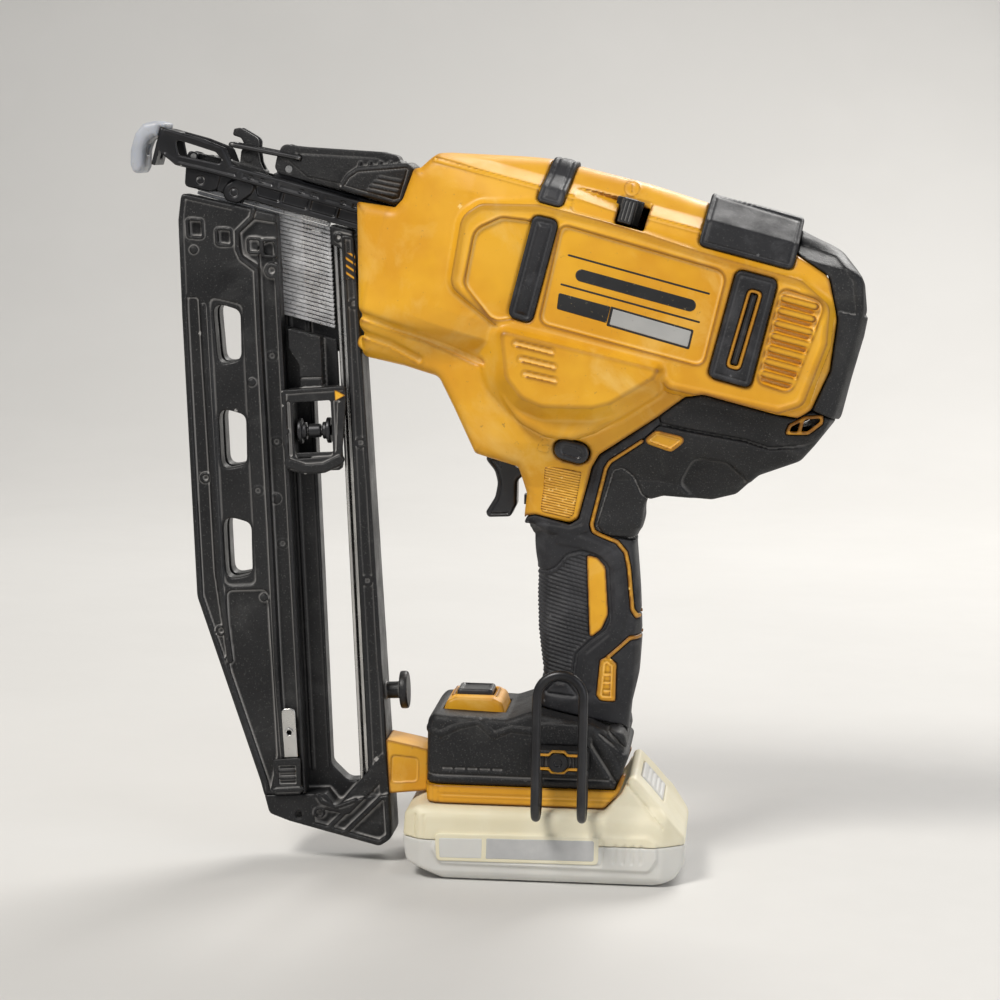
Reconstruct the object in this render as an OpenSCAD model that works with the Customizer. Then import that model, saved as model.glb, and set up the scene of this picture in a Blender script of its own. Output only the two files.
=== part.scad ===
// Cordless angled finish nailer standing on its battery pack. Millimetres.
// +X runs to the rear, -X to the nose, +Y to the right side, +Z up.
// Origin: middle of the battery pack's flat underside, in the tool's mid-plane.

/* [Housing] */
// wall thickness of the moulded shells
wall = 2.6; // [2.2:0.1:3.2]
// half width of the barrel at the side panel
barrel_half = 36; // [35:0.5:37]
// half width at the motor bulge, left side
bulge_half = 42; // [41:0.5:44]
// radius of the motor bulge
bulge_r = 30; // [29.5:0.5:31]
// half width of the rubber grip
grip_half = 17.5; // [17:0.5:19]
// half width of the foot
foot_half = 31; // [30.5:0.5:32]

/* [Drive] */
// radius of the flywheel
flywheel_r = 26; // [24:0.5:26.2]
// side of the square driver blade
blade_w = 1.5; // [1.3:0.1:1.7]
// length of each nail
nail_len = 58; // [50:1:58]
// spacing of the nails in the strip
nail_pitch = 1.7; // [1.6:0.05:1.8]
// number of nails in the strip
nail_count = 30; // [20:1:30]

/* [Magazine] */
// half thickness of the magazine
mag_half = 12; // [11.5:0.5:12.5]
// half gap of the nail channel
channel_half = 1.6; // [1.5:0.1:1.8]

/* [Battery] */
// half width of the battery pack
pack_half = 37; // [36:0.5:37.5]
// height of the seam between the pack's shells
pack_seam = 17; // [14:1:20]

/* [Controls] */
// radius of the belt hook wire
hook_wire = 1.9; // [1.6:0.1:2.1]

/* [Hidden] */
$fn = 48;
e = 0.01;
// tilt of the drive line, nose up, and lean of the magazine from vertical
drive_tilt = 14;
mag_lean = 3.5;

// ---- helpers -------------------------------------------------------------

function unit(v) = v / norm(v);
function at(p, i) = p[(i + len(p)) % len(p)];
function xy(p) = [p[0], p[1]];

// moves every corner of a clockwise outline inwards by d
function inset(p, d) = [for (i = [0:len(p) - 1])
  let(e1 = unit(xy(at(p, i)) - xy(at(p, i - 1))))
  let(e2 = unit(xy(at(p, i + 1)) - xy(at(p, i))))
  let(n1 = [e1[1], -e1[0]])
  let(n2 = [e2[1], -e2[0]])
  let(q = xy(at(p, i)) + (n1 + n2) * d / (1 + n1 * n2))
  [q[0], q[1], p[i][2]]];

// replaces each corner [x, y, r] by an arc of radius r
function arc(a, p, b, r, n) =
  let(u = unit(a - p))
  let(v = unit(b - p))
  let(half = acos(max(-0.9999, min(0.9999, u * v))) / 2)
  let(r1 = min(r, tan(half) * 0.48 * min(norm(a - p), norm(b - p))))
  let(c = p + unit(u + v) * r1 / sin(half))
  let(s = p + u * r1 / tan(half) - c)
  let(t = p + v * r1 / tan(half) - c)
  [for (k = [0:n]) c + unit(s * (n - k) + t * k) * r1];

function rounded(p, n = 3) = [for (i = [0:len(p) - 1])
  each (p[i][2] == undef || p[i][2] <= 0 || half_turn(p, i))
    ? [xy(p[i])]
    : arc(xy(at(p, i - 1)), xy(p[i]), xy(at(p, i + 1)), p[i][2], n)];

function half_turn(p, i) =
  unit(xy(at(p, i - 1)) - xy(p[i])) * unit(xy(at(p, i + 1)) - xy(p[i])) < -0.9995;

// a symmetric outline from its half, given from the top down as [y, z, r]
function both(p) = concat(p, [for (i = [len(p) - 1:-1:0]) [-p[i][0], p[i][1], p[i][2]]]);

module outline(p, o = 0, n = 3) polygon(rounded(o == 0 ? p : inset(p, o), n));

// a plate whose outline lies in X-Z, from y0 to y1
module slab(y0, y1) translate([0, y1, 0]) rotate([90, 0, 0]) linear_extrude(y1 - y0) children();

// a bar whose section lies in Y-Z, from x0 to x1
module bar(x0, x1) translate([x0, 0, 0]) rotate([90, 0, 90]) linear_extrude(x1 - x0) children();

module ycyl(r, y0, y1, x, z) translate([x, y0, z]) rotate([-90, 0, 0]) cylinder(r = r, h = y1 - y0);
module xcyl(r, x0, x1, y, z) translate([x0, y, z]) rotate([0, 90, 0]) cylinder(r = r, h = x1 - x0);
module block(a, b) translate(a) cube(b - a);

module drv() translate([0, 0, 257]) rotate([0, drive_tilt, 0]) children();
module mag() translate([-84, 0, 276]) rotate([0, -mag_lean, 0]) children();
module mirror_y() { children(); mirror([0, 1, 0]) children(); }

// ---- shared outlines ------------------------------------------------------

// side outline of the main body above the grip, clockwise from the nose
body_side = [[-77, 279, 1], [-60.5, 276.8, 2], [-57, 280.5, 2], [-52.5, 293, 2], [-49.5, 293.6, 1],
  [-43, 299.6, 4], [2, 298.2, 8], [43, 289, 8], [64, 282, 4], [106, 270.5, 4], [124, 260.5, 8],
  [131.5, 251, 8], [133, 239, 4], [131.5, 229, 4], [122.8, 196.5, 4], [107.5, 177, 6],
  [91, 170.5, 5], [82, 162, 5], [72, 159.4, 6], [52, 160.6, 3], [45, 158.5, 3], [42.5, 147, 0],
  [-6, 147, 0], [-4.5, 160, 3], [-8, 171.5, 2], [-25.8, 176.8, 2], [-35, 195, 6], [-42, 208, 5],
  [-56, 212, 3], [-74, 215.5, 3]];

// cross-section of the barrel, square to the drive line: right half from the top down
barrel_half_section = [[11, 41.5, 5], [20, 33.5, 3], [31, 28.5, 3], [barrel_half, 20, 4],
  [barrel_half, -30, 4], [barrel_half - 3, -37, 3], [24, -44, 4], [10, -66, 3]];

// plan of the barrel, square to the drive line
barrel_plan = [[-84, 17, 2], [-66, 26, 8], [-34, 34, 12], [-20, barrel_half, 5],
  [108, barrel_half, 8], [130, 31, 6], [137, 20, 4]];

// cross-section of the belly under the barrel: right half from the top down
belly_half_section = [[32, 240, 2], [32, 205, 6], [27, 182, 8], [19, 163, 4], [16, 146, 0]];
belly_plan = [[-76, 12, 2], [-58, 15, 4], [-30, 24, 10], [0, 32, 12], [96, 32, 10], [126, 20, 6]];

grip_side = [[-16, 145, 1], [-9, 150, 2], [42.5, 150, 0], [41, 139, 6], [43.2, 119, 9],
  [44.8, 99, 9], [43.5, 84, 9], [40.4, 71, 6], [39.5, 60, 0], [-3, 60, 0], [1.5, 75, 5],
  [3.2, 84, 8], [0, 103, 9], [-1, 118, 9], [-0.6, 130, 5], [-4, 138.5, 5], [-10, 143, 3]];
grip_plan = [[-1.2, 9, 0], [5, grip_half - 2, 6], [13, grip_half, 8], [32, grip_half, 8],
  [41, grip_half - 4, 6], [45.2, 7, 3]];

foot_side = [[-44.3, 65.5, 4], [-40.5, 68.5, 3], [-9.5, 67.5, 6], [0, 71, 6], [39, 63.5, 5],
  [40.6, 52.5, 2], [35.5, 39, 0], [-44.3, 39, 0]];
foot_plan = [[-44.3, foot_half, 9], [44, foot_half, 9]];

// outlines that divide the black covers from the yellow shells
cap_side = [[101, 262, 2], [108, 280, 2], [140, 280, 2], [140, 188, 2], [117, 188, 2], [111, 199, 3],
  [118, 215, 6], [120.5, 236, 6], [117, 252, 6]];
under_side = [[64, 204.5, 5], [104, 195.5, 4], [112, 199, 3], [124, 199, 0], [128, 150, 0],
  [20, 144, 1], [22, 172, 3], [30, 177, 6], [48, 197, 6]];

module sym_plan(p, o = 0) linear_extrude(400, center = true)
  polygon(rounded(o == 0 ? sym_x(p) : inset(sym_x(p), o), 3));
function sym_x(p) = concat(p, [for (i = [len(p) - 1:-1:0]) [p[i][0], -p[i][1], p[i][2]]]);

// ---- main housing ----------------------------------------------------------

module barrel(o = 0) intersection() {
  slab(-60, 60) outline(body_side, o);
  drv() bar(-90, 140) outline(both(barrel_half_section), o);
  drv() sym_plan(barrel_plan, o);
}

module belly(o = 0) intersection() {
  slab(-60, 60) outline(body_side, o);
  bar(-90, 140) outline(both(belly_half_section), o);
  sym_plan(belly_plan, o);
}

// motor bulge: a round boss with a sloped skirt, shorter on the right
module bulge(o = 0) difference() {
  union() for (s = [-1, 1]) translate([17, 0, 213]) rotate([-90 * s, 0, 0]) {
    h = s < 0 ? bulge_half - o : bulge_half - 4 - o;
    cylinder(r = bulge_r - o, h = h - 10);
    translate([0, 0, h - 10 - e]) cylinder(r1 = bulge_r - o, r2 = bulge_r - 7 - o, h = 10);
  }
  drv() for (s = [-1, 1]) translate([0, s * (barrel_half + 12 - o), -24 - o]) block([-60, -12, 0],
    [100, 12, 60]);
}

module grip(o = 0) intersection() {
  slab(-30, 30) outline(grip_side, o);
  translate([0, 0, 100]) linear_extrude(120, center = true)
    polygon(rounded(inset(sym_x(grip_plan), o == 0 ? e : o), 3));
}

module foot(o = 0) intersection() {
  slab(-60, 60) outline(foot_side, o);
  sym_plan(foot_plan, o);
}

module body_shell() difference() {
  union() {
    barrel();
    belly();
    bulge();
  }
  barrel(wall);
  belly(wall);
  bulge(wall);
  // mouth for the nose
  drv() block([-100, -11, -30], [-62, 11, 13]);
  drv() block([-100, -14.6, -7], [-54, 14.6, 8]);
  drv() xcyl(2.05, -100, -60, 17.4, -9);
  ycyl(1.5, -13, 13, -8.4, 171.8);
  // trigger slot and the passage down into the grip
  block([-40, -7, 148], [14, 7, 176]);
  intersection() {
    grip(4.2);
    block([-20, -20, 120], [60, 20, 170]);
  }
  // lock-off button passage
  lock_off_hole(0.3);
}

module lock_off_hole(c) translate([14.4, 0, 179.3]) rotate([0, 15, 0]) {
  for (s = [-1, 1]) ycyl(4.3 + c, -50, 50, 3 * s, 0);
  block([-3, -50, -4.3 - c], [3, 50, 4.3 + c]);
}

module grip_shell() difference() {
  grip(2);
  grip(4.2);
  block([-20, -8, 147], [0, 8, 160]);
}

// inner frame of the foot, which carries the contact block and the circuit board
module foot_frame() color("dimgray") difference() {
  foot(2.7);
  foot(4.8);
  grip(1.9);
  block([-60, -26, 30], [60, 26, 45]);
  hook_bosses();
  bezel_seat();
  block([-34, -9, 56], [-17, 9, 80]);
}

module hook_bosses() {
  ycyl(2.2, -40, 0, 12.4, 52.7);
  ycyl(4.2, 0, 40, 12.4, 52.7);
}

// raised side panel, the border of which follows the barrel
panel_side = [[-36, 246, 8], [-31, 277, 10], [0, 280.5, 10], [64, 267, 8], [112, 254, 8], [118.5, 240, 6],
  [117.5, 226, 6], [107.5, 199.5, 7], [98, 197, 6], [53, 206, 5], [46, 214, 4], [-20, 231, 8]];

module panels() for (s = [-1, 1]) difference() {
  slab(s < 0 ? -barrel_half - 1.6 : barrel_half - e, s < 0 ? -barrel_half + e : barrel_half + 1.6)
    outline(panel_side);
  translate([0, s * (barrel_half + 1.6), 0]) slab(-0.8, 0.8) outline(pocket_side);
  bumper_seats();
}
pocket_side = [[-30, 247, 6], [-27, 270, 7], [-13, 273.5, 6], [-6, 271, 4], [-14, 240, 4], [-22, 240, 5]];
strip_side = [[-2.5, 275.5, 3], [7.5, 273.5, 4], [-2.5, 233.5, 4], [-12.5, 236.5, 4]];
frame_side = [[80, 255.5, 3], [96.5, 251.5, 3], [85, 207.5, 3], [68, 212, 3]];
frame_slot = [[84.5, 247.5, 2], [89.5, 246, 2], [80.5, 213.5, 2], [75.5, 215, 2]];

module strip_pair() for (s = [-1, 1])
  translate([0, s * (barrel_half + 0.6), 0]) slab(-1.8, 1.8) outline(strip_side);
module frame_pair() for (s = [-1, 1])
  translate([0, s * (barrel_half + 1), 0]) slab(-2.6, 2.6) difference() {
    outline(frame_side);
    outline(frame_slot);
  }
module bumper_seats() {
  strip_pair();
  frame_pair();
}

// rubber strap over the top of the barrel
strap_side = [[5.9, 303, 2], [15.5, 303, 2], [9, 278, 2], [-0.8, 281, 2]];
module strap_band(o) intersection() {
  slab(-60, 60) outline(strap_side);
  difference() {
    drv() bar(-30, 40) outline(inset(both(barrel_half_section), -1.8), 0);
    drv() bar(-31, 41) outline(inset(both(barrel_half_section), 1.2 - o), 0);
  }
  block([-60, -27, 270], [60, 27, 320]);
}

module rear_block_band() intersection() {
  slab(-28, 28) outline([[64.5, 284.5, 2], [69, 286.5, 2], [107, 276, 3], [108, 262, 1], [66, 262, 1]]);
  difference() {
    drv() bar(30, 130) outline(inset(both(barrel_half_section), -2.2));
    drv() bar(29, 131) outline(inset(both(barrel_half_section), 1.3));
  }
}

// case screws go in from the right: place, and where the head seats
screw_sites = [[-62, 224, 12], [-43.2, 290.4, 16], [-22, 205, 16], [60.6, 268.7, 16],
  [101.3, 254.4, 16], [62, 210, 16], [28, 143, 8], [33, 86, 8]];
module screw_posts() intersection() {
  union() {
    barrel(wall - 0.4);
    belly(wall - 0.4);
    grip(4);
  }
  for (p = screw_sites) ycyl(4.8, -60, 60, p[0], p[1]);
}

module housing(s) difference() {
  intersection() {
    union() {
      difference() {
        union() {
          body_shell();
          difference() {
            panels();
            bulge(wall);
          }
        }
        slab(-60, 60) outline(cap_side);
        slab(-60, 60) outline(under_side);
        strap_band(0);
        rear_block_band();
        bumper_seats();
        // vent slots in the panel behind the bumper frame
        for (k = [0:5]) drv() block([99, -60, 14 - 7.2 * k], [111 - k, 60, 16.6 - 7.2 * k]);
        drv() block([25.6, -26.6, 20], [37.4, -22, 44]);
      }
      grip_shell();
      screw_posts();
      // ribs that hold the inner frame
      intersection() {
        union() {
          barrel(wall - 0.3);
        }
        union() {
          drv() block([-64, 25, -24], [-61.6, 60, 24]);
          drv() block([-64, -60, -24], [-61.6, -25, 24]);
          drv() block([100.4, 25, -24], [103, 60, 24]);
          drv() block([100.4, -60, -24], [103, -25, 24]);
        }
      }
    }
    block([-200, s < 0 ? -60 : 0, 0], [200, s < 0 ? 0 : 60, 330]);
  }
  // screw bores, counterbored from the right
  for (p = screw_sites) {
    ycyl(1.5, -16, 60, p[0], p[1]);
    ycyl(3.3, p[2], 60, p[0], p[1]);
  }
}

module left_housing() color("goldenrod") housing(-1);
module right_housing() color("goldenrod") housing(1);

module housing_screws() color("dimgray") for (p = screw_sites) difference() {
  union() {
    ycyl(1.4, -14, p[2] + 1, p[0], p[1]);
    ycyl(3, p[2], p[2] + 2.2, p[0], p[1]);
  }
  translate([p[0], p[2] + 1.2, p[1]]) rotate([-90, 0, 0]) cylinder(r = 1.3, h = 2, $fn = 6);
}

// ---- black covers and rubber ------------------------------------------------

module rear_cap() color("dimgray") difference() {
  intersection() {
    union() {
      barrel();
      belly();
    }
    slab(-60, 60) outline(cap_side);
  }
  barrel(wall);
  belly(wall);
  rear_block_band();
  // row of exhaust slots across the rear face
  for (k = [-2:2]) drv() block([120, -14, 9 * k - 5], [140, 14, 9 * k - 1.5]);
}

module rear_undercover() color("dimgray") difference() {
  intersection() {
    union() {
      barrel();
      belly();
    }
    difference() {
      slab(-60, 60) outline(under_side);
      slab(-60, 60) outline(cap_side);
    }
  }
  barrel(wall);
  belly(wall);
  bulge();
  grip();
  for (k = [0:4]) block([56 + 9 * k, -60, 172], [60 + 9 * k, 60, 178]);
  for (s = [0, 1]) translate([104 + 7 * s, -60, 191]) rotate([0, -15, 0]) cube([4, 120, 4]);
}

module top_strap() color("dimgray") strap_band(0);
module side_strips() color("dimgray") strip_pair();
module bumper_frames() color("dimgray") frame_pair();
module top_rear_bumper() color("dimgray") rear_block_band();

module stall_lever() color("gray") drv() {
  block([26.2, -27.5, 33.8], [32.2, -21, 36]);
  block([23.6, -27.2, 24.2], [34.8, -21, 26.6]);
  block([27.2, -26.2, 26.5], [31.2, -22.4, 34]);
}

module grip_sleeve() color("dimgray") difference() {
  intersection() {
    grip();
    block([-30, -30, 60.2], [60, 30, 147]);
  }
  grip(2);
  foot();
  grip_inlay_zone();
  block([-30, -7.2, 146], [-7, 7.2, 160]);
  for (p = screw_sites) ycyl(3.3, p[2], 60, p[0], p[1]);
}
module grip_inlay_zone() slab(-30, -12)
  outline([[20.5, 137, 1], [27.5, 135.3, 3], [30.2, 124, 4], [30.2, 112, 4], [27, 105, 4], [22, 101, 1]]);
module grip_inlay() color("goldenrod") intersection() {
  difference() {
    grip();
    grip(2);
  }
  grip_inlay_zone();
}

// ---- foot and battery rails --------------------------------------------------

module foot_cover() color("dimgray") difference() {
  foot();
  foot(2.6);
  grip(2);
  block([-60, -26, 30], [60, 26, 42]);
  hook_bosses();
  bezel_seat();
}

ring_side = [[-44, 39, 0], [35.5, 39, 0], [40.6, 52.5, 0], [42.2, 52.5, 0.5], [37.2, 38.2, 3],
  [31, 31.4, 2],
  [-43, 31.4, 1]];
module foot_base_ring() color("goldenrod") difference() {
  union() {
    intersection() {
      slab(-60, 60) outline(ring_side);
      sym_plan(foot_plan);
    }
  }
  // cavity for the pack's head, then the narrower throat between the rails
  block([-41, -25.2, 36.8], [60, 25.2, 60]);
  block([-41, -20.6, 20], [60, 20.6, 60]);
}

link_side = [[-66, 54, 1], [-49, 50.5, 2], [-44.4, 49, 0], [-44.4, 32, 0], [-66, 29.5, 1]];
module link_block() color("goldenrod") difference() {
  slab(-11, 11) outline(link_side);
  mag() slab(-20, 20) mag_outline();
}

bezel_side = [[-39.5, 62, 0], [-36.8, 71.3, 3], [-33, 73.2, 3], [-17, 73.2, 3], [-13.5, 71.5, 3],
  [-10.5, 62, 0]];
module bezel_seat() slab(-15, 15) outline(bezel_side);
module mode_bezel() color("goldenrod") difference() {
  bezel_seat();
  block([-50, -20, 50], [0, 20, 65.5]);
  block([-33.3, -8.3, 60], [-17.7, 8.3, 80]);
}
module mode_button() color("dimgray") {
  block([-33, -8, 66.5], [-18, 8, 74.2]);
  block([-31, -6, 62.5], [-20, 6, 66.6]);
}

// ---- belt hook ---------------------------------------------------------------

hook_x = 13.6;
module belt_hook() color("dimgray") union() {
  for (s = [-1, 1]) {
    translate([hook_x + 9.4 * s, -55, 38]) cylinder(r = hook_wire, h = 44);
    translate([hook_x + 9.4 * s, -48, 38]) rotate([0, 90, 0]) rotate([0, 0, 0])
      rotate_extrude(angle = 180, start = -90) translate([7, 0]) circle(r = hook_wire);
    translate([hook_x + 9.4 * s, -41, 38]) cylinder(r = hook_wire, h = 10.5);
    translate([hook_x + 9.4 * s, -41, 48.5]) sphere(r = hook_wire);
    translate([hook_x + 9.4 * s, -55, 82]) sphere(r = hook_wire);
  }
  translate([hook_x, -55, 82]) rotate([90, 0, 0]) rotate_extrude(angle = 180)
    translate([9.4, 0]) circle(r = hook_wire);
  // clamp tongue between the wire ends
  difference() {
    slab(-41.8, -foot_half - 0.2) outline([[2.5, 57.5, 2], [24.7, 57.5, 2], [24.7, 47.5, 2],
      [2.5, 47.5, 2]]);
    ycyl(2.3, -60, 0, 12.4, 52.7);
  }
}
module belt_hook_screw() color("silver") difference() {
  union() {
    ycyl(4, -44, -41.8, 12.4, 52.7);
    ycyl(2, -42, -20, 12.4, 52.7);
  }
  translate([12.4, -45, 52.7]) rotate([-90, 0, 0]) cylinder(r = 1.6, h = 2.4, $fn = 6);
}
module hook_insert() color("silver") difference() {
  ycyl(4.2, 18, foot_half + 0.5, 12.4, 52.7);
  ycyl(2, 17, 60, 12.4, 52.7);
}

// ---- electronics ----------------------------------------------------------------

module terminal_block() color("dimgray") union() {
  block([-36, -14, 45.4], [-4, 14, 52]);
  for (k = [-2:2]) block([-33, 5 * k - 0.6, 42], [-10, 5 * k + 0.6, 45.6]);
}
module control_board() color("green") {
  block([-36, -22, 54.5], [8, 22, 56.2]);
  block([-32, -18, 56], [-16, -6, 60]);
  block([-12, -18, 56], [4, 6, 59]);
}

// ---- battery pack ------------------------------------------------------------------

pack_side = [[-52, 27, 3], [-46, 30.9, 3], [31.3, 30.9, 2], [37.9, 37.8, 3], [41.2, 44.4, 1],
  [43.6, 44.9, 2], [50, 38.2, 4], [57, 30, 4], [65, 19.5, 5],
  [65, 9, 5], [61, 3, 4], [52, 0, 4], [-35, 0, 4], [-44, 4.5, 3], [-51, 6.5, 3], [-53, 14, 3]];
pack_plan = [[-53.5, pack_half - 8, 5], [-44, pack_half, 6], [54, pack_half, 8],
  [65.5, pack_half - 9, 6]];

module pack(o = 0) intersection() {
  slab(-60, 60) outline(pack_side, o);
  sym_plan(pack_plan, o);
  bar(-60, 70) outline(both([[29, 56, 3], [32, 33, 2], [pack_half, 27, 5], [pack_half, 4, 3],
    [pack_half - 3, 0, 2]]), o);
}
// room inside the pack's shells, kept to plain walls
module pack_room() intersection() {
  slab(-60, 60) polygon([[-48.8, 28.6], [32.4, 28.6], [40.2, 36.8], [42.7, 41.9],
    [48.3, 36.4], [55.1, 28.3], [62.7, 18.4], [62.7, 10], [60, 4.8], [51.6, 2.2], [-34.6, 2.2], [-43, 6.4],
    [-49.4, 8.3], [-50.7, 14.4]]);
  linear_extrude(200, center = true)
    outline(sym_x([[-51, pack_half - 10], [-43.2, pack_half - 2.6], [53, pack_half - 2.6],
      [63, pack_half - 11]]));
  bar(-70, 80) outline(both([[26.4, 60], [29.4, 33], [pack_half - 2.6, 26], [pack_half - 2.6, 1]]));
}
module battery_upper() color("wheat") difference() {
  union() {
    intersection() {
      pack();
      block([-60, -60, pack_seam], [70, 60, 60]);
    }
    block([-39, -20, 30], [34, 20, 37.4]);
    block([-39, -24.7, 37.2], [36, 24.7, 41.2]);
  }
  pack_room();
  // contact slots in the head
  for (k = [-2:2]) block([-40, 5 * k - 1.1, 34], [-8, 5 * k + 1.1, 42]);
  release_pocket(0.4);
}
module battery_lower() color("lightgray") difference() {
  intersection() {
    pack();
    block([-60, -60, -1], [70, 60, pack_seam]);
  }
  pack_room();
  // shallow blank label recess on each side
  for (s = [-1, 1]) translate([0, s * pack_half, 0]) slab(-0.6, 0.6)
    outline([[-35, 15, 2], [28, 15, 2], [28, 6.5, 2], [-35, 6.5, 2]]);
}
module battery_cells() color("teal") for (k = [-2:2])
  translate([18.8 * k + 7.5, 0, 12.4]) rotate([90, 0, 0]) cylinder(r = 9.2, h = 66, center = true);

module release_pocket(c) translate([46.7, 0, 35.4]) rotate([0, 48, 0])
  block([-6 - c, -15 - c, -4], [8 + c, 15 + c, 12]);
module battery_release() color("gray") translate([46.7, 0, 35.4]) rotate([0, 48, 0])
  block([-5.8, -14.8, -1.5], [7.8, 14.8, 4.6]);

// ---- trigger -------------------------------------------------------------------------

trigger_side = [[-24, 174, 2], [-13, 175.5, 2], [-4.5, 175.5, 2], [-4.8, 168, 2], [-9.5, 164, 3],
  [-9.5, 154, 3],
  [-12, 148.8, 2], [-21.5, 148.3, 2], [-22.5, 150.5, 1.5], [-18.6, 157, 8], [-17.6, 163, 8],
  [-19, 168, 6]];
module trigger() color("dimgray") difference() {
  slab(-6.4, 6.4) outline(trigger_side);
  ycyl(1.55, -20, 20, -8.4, 171.8);
  // notch for the torsion spring
  block([-12.6, -3.4, 167.6], [-3, 3.4, 177]);
}
module trigger_pin() color("silver") ycyl(1.5, -13, 13, -8.4, 171.8);
module trigger_spring() color("silver") translate([-8.4, 0, 171.8]) rotate([-90, 0, 0]) union() {
  for (k = [0:4]) translate([0, 0, -2.4 + 1.2 * k]) rotate_extrude() translate([2.2, 0]) circle(r = 0.5);
  translate([2.2, 0, -2.4]) cylinder(r = 0.35, h = 4.8);
  // leg that bears on the housing behind
  translate([0, -2.2, -2.4]) rotate([0, 90, 0]) cylinder(r = 0.45, h = 11);
}
module trigger_switch() color("dimgray") {
  block([7, -7.5, 150.5], [30, 7.5, 168]);
  block([-6.6, -3, 154], [7.2, 3, 158]);
}
module lock_off_button() color("dimgray") intersection() {
  translate([14.4, 0, 179.3]) rotate([0, 15, 0]) union() {
    for (s = [-1, 1]) ycyl(4.3, -28.8, 28.8, 3 * s, 0);
    block([-3, -28.8, -4.3], [3, 28.8, 4.3]);
  }
}

// ---- drive train, all in the drive line's own frame ----------------------------------

fly_u = 27;
fly_w = -38.6;

module inner_frame() color("silver") drv() difference() {
  union() {
    for (s = [-1, 1]) translate([0, s * 21.5, 0]) slab(-1.5, 1.5)
      outline([[-54, 11, 2], [-46, 15, 2], [100, 15, 2], [100, -18, 2], [56, -18, 2], [44, -40, 3],
        [34, -50, 4],
        [20, -50, 4], [10, -40, 3], [-6, -18, 3], [-54, -18, 2]]);
    block([-54, -23, -18], [-49.5, 23, 11]);
    block([96, -23, -18], [100, 23, 15]);
  }
  // seat of the right bearing, and room for the rotor cup on the left
  ycyl(7.9, 0, 40, fly_u, fly_w);
  ycyl(23.4, -40, 0, fly_u, fly_w);
  // passage for the blade
  block([-70, -2.4, -2.4], [-40, 2.4, 2.4]);
  for (s = [-1, 1]) xcyl(2.5, -70, 110, 15 * s, 6);
  // pivot of the activation arm
  ycyl(2, -40, 40, 52, 12.8);
}

module motor_stator() color("brown") drv() translate([fly_u, -37.5, fly_w]) rotate([-90, 0,
  0]) difference() {
  union() {
    cylinder(r = 11.4, h = 2.4);
    translate([0, 0, 2.3]) cylinder(r = 9.5, h = 11.7);
    for (k = [0:8]) rotate([0, 0, 40 * k]) translate([8, -2.4, 4.7]) cube([9.5, 4.8, 8.6]);
  }
  translate([0, 0, -1]) cylinder(r = 4.6, h = 20);
}

module flywheel_rotor() color("silver") drv() translate([fly_u, 0, fly_w]) rotate([-90, 0, 0]) union() {
  // rim with two driving grooves
  rotate_extrude() polygon([[5, -5.5], [flywheel_r - 1, -5.5], [flywheel_r, -4.5], [flywheel_r, -3],
    [flywheel_r - 2, -2],
    [flywheel_r, -1], [flywheel_r, 1], [flywheel_r - 2, 2], [flywheel_r, 3], [flywheel_r, 4.5],
    [flywheel_r - 1, 5.5], [5, 5.5]]);
  // outer rotor cup around the stator
  rotate_extrude() polygon([[5, -8], [22.5, -8], [22.5, -33], [19, -33], [19, -11], [5, -11]]);
  translate([0, 0, -9]) cylinder(r = 14, h = 6);
  // shaft
  translate([0, 0, -38]) cylinder(r = 3.95, h = 64);
}

module motor_bearings() color("silver") drv() for (y = [-27 + 46.8, -19.8]) translate([fly_u,
  y < 0 ? -39.2 : y, fly_w])
  rotate([-90, 0, 0]) difference() {
    cylinder(r = y < 0 ? 4.4 : 7.9, h = y < 0 ? 1.6 : 6);
    translate([0, 0, -1]) cylinder(r = 4, h = 8);
  }

module driver() color("silver") drv() union() {
  // profile with two ribs that enter the flywheel grooves
  slab(-5, 5) outline([[24, 3, 1], [80, 3, 1], [80, -10.6, 4], [24, -10.6, 3]]);
  // ears that slide on the guide rods
  difference() {
    union() {
      block([66, -18.5, -2], [76, 18.5, 2.9]);
      for (s = [-1, 1]) block([66, 15 * s - 3.7, 2], [76, 15 * s + 3.7, 9.6]);
    }
    for (s = [-1, 1]) xcyl(2.56, 20, 90, 15 * s, 6);
  }
  // blade
  block([-93, -blade_w / 2, -blade_w / 2], [26, blade_w / 2, blade_w / 2]);
}

module guide_rods() color("silver") drv() for (s = [-1, 1]) xcyl(2.5, -53.8, 99.8, 15 * s, 6);

module coil(r, wire, x0, x1, turns) difference() {
  union() for (k = [0:turns]) translate([x0 + wire + (x1 - x0 - 2 * wire) * k / turns, 0, 0])
    rotate([0, 90, 0]) rotate_extrude($fn = 32) translate([r, 0]) circle(r = wire, $fn = 16);
}

module return_springs() color("silver") drv() for (s = [-1, 1]) translate([0, 15 * s, 6]) union() {
  coil(3.8, 0.6, -49.4, 65.8, 30);
  // one side strand joins the turns
  translate([-48.8, 0, 3.8]) rotate([0, 90, 0]) cylinder(r = 0.5, h = 114, $fn = 16);
}

module front_stops() color("teal") drv() difference() {
  block([-49.5, -7, -12], [-48.4, 7, 4]);
  block([-60, -2.4, -2.4], [-40, 2.4, 2.4]);
}

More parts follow.
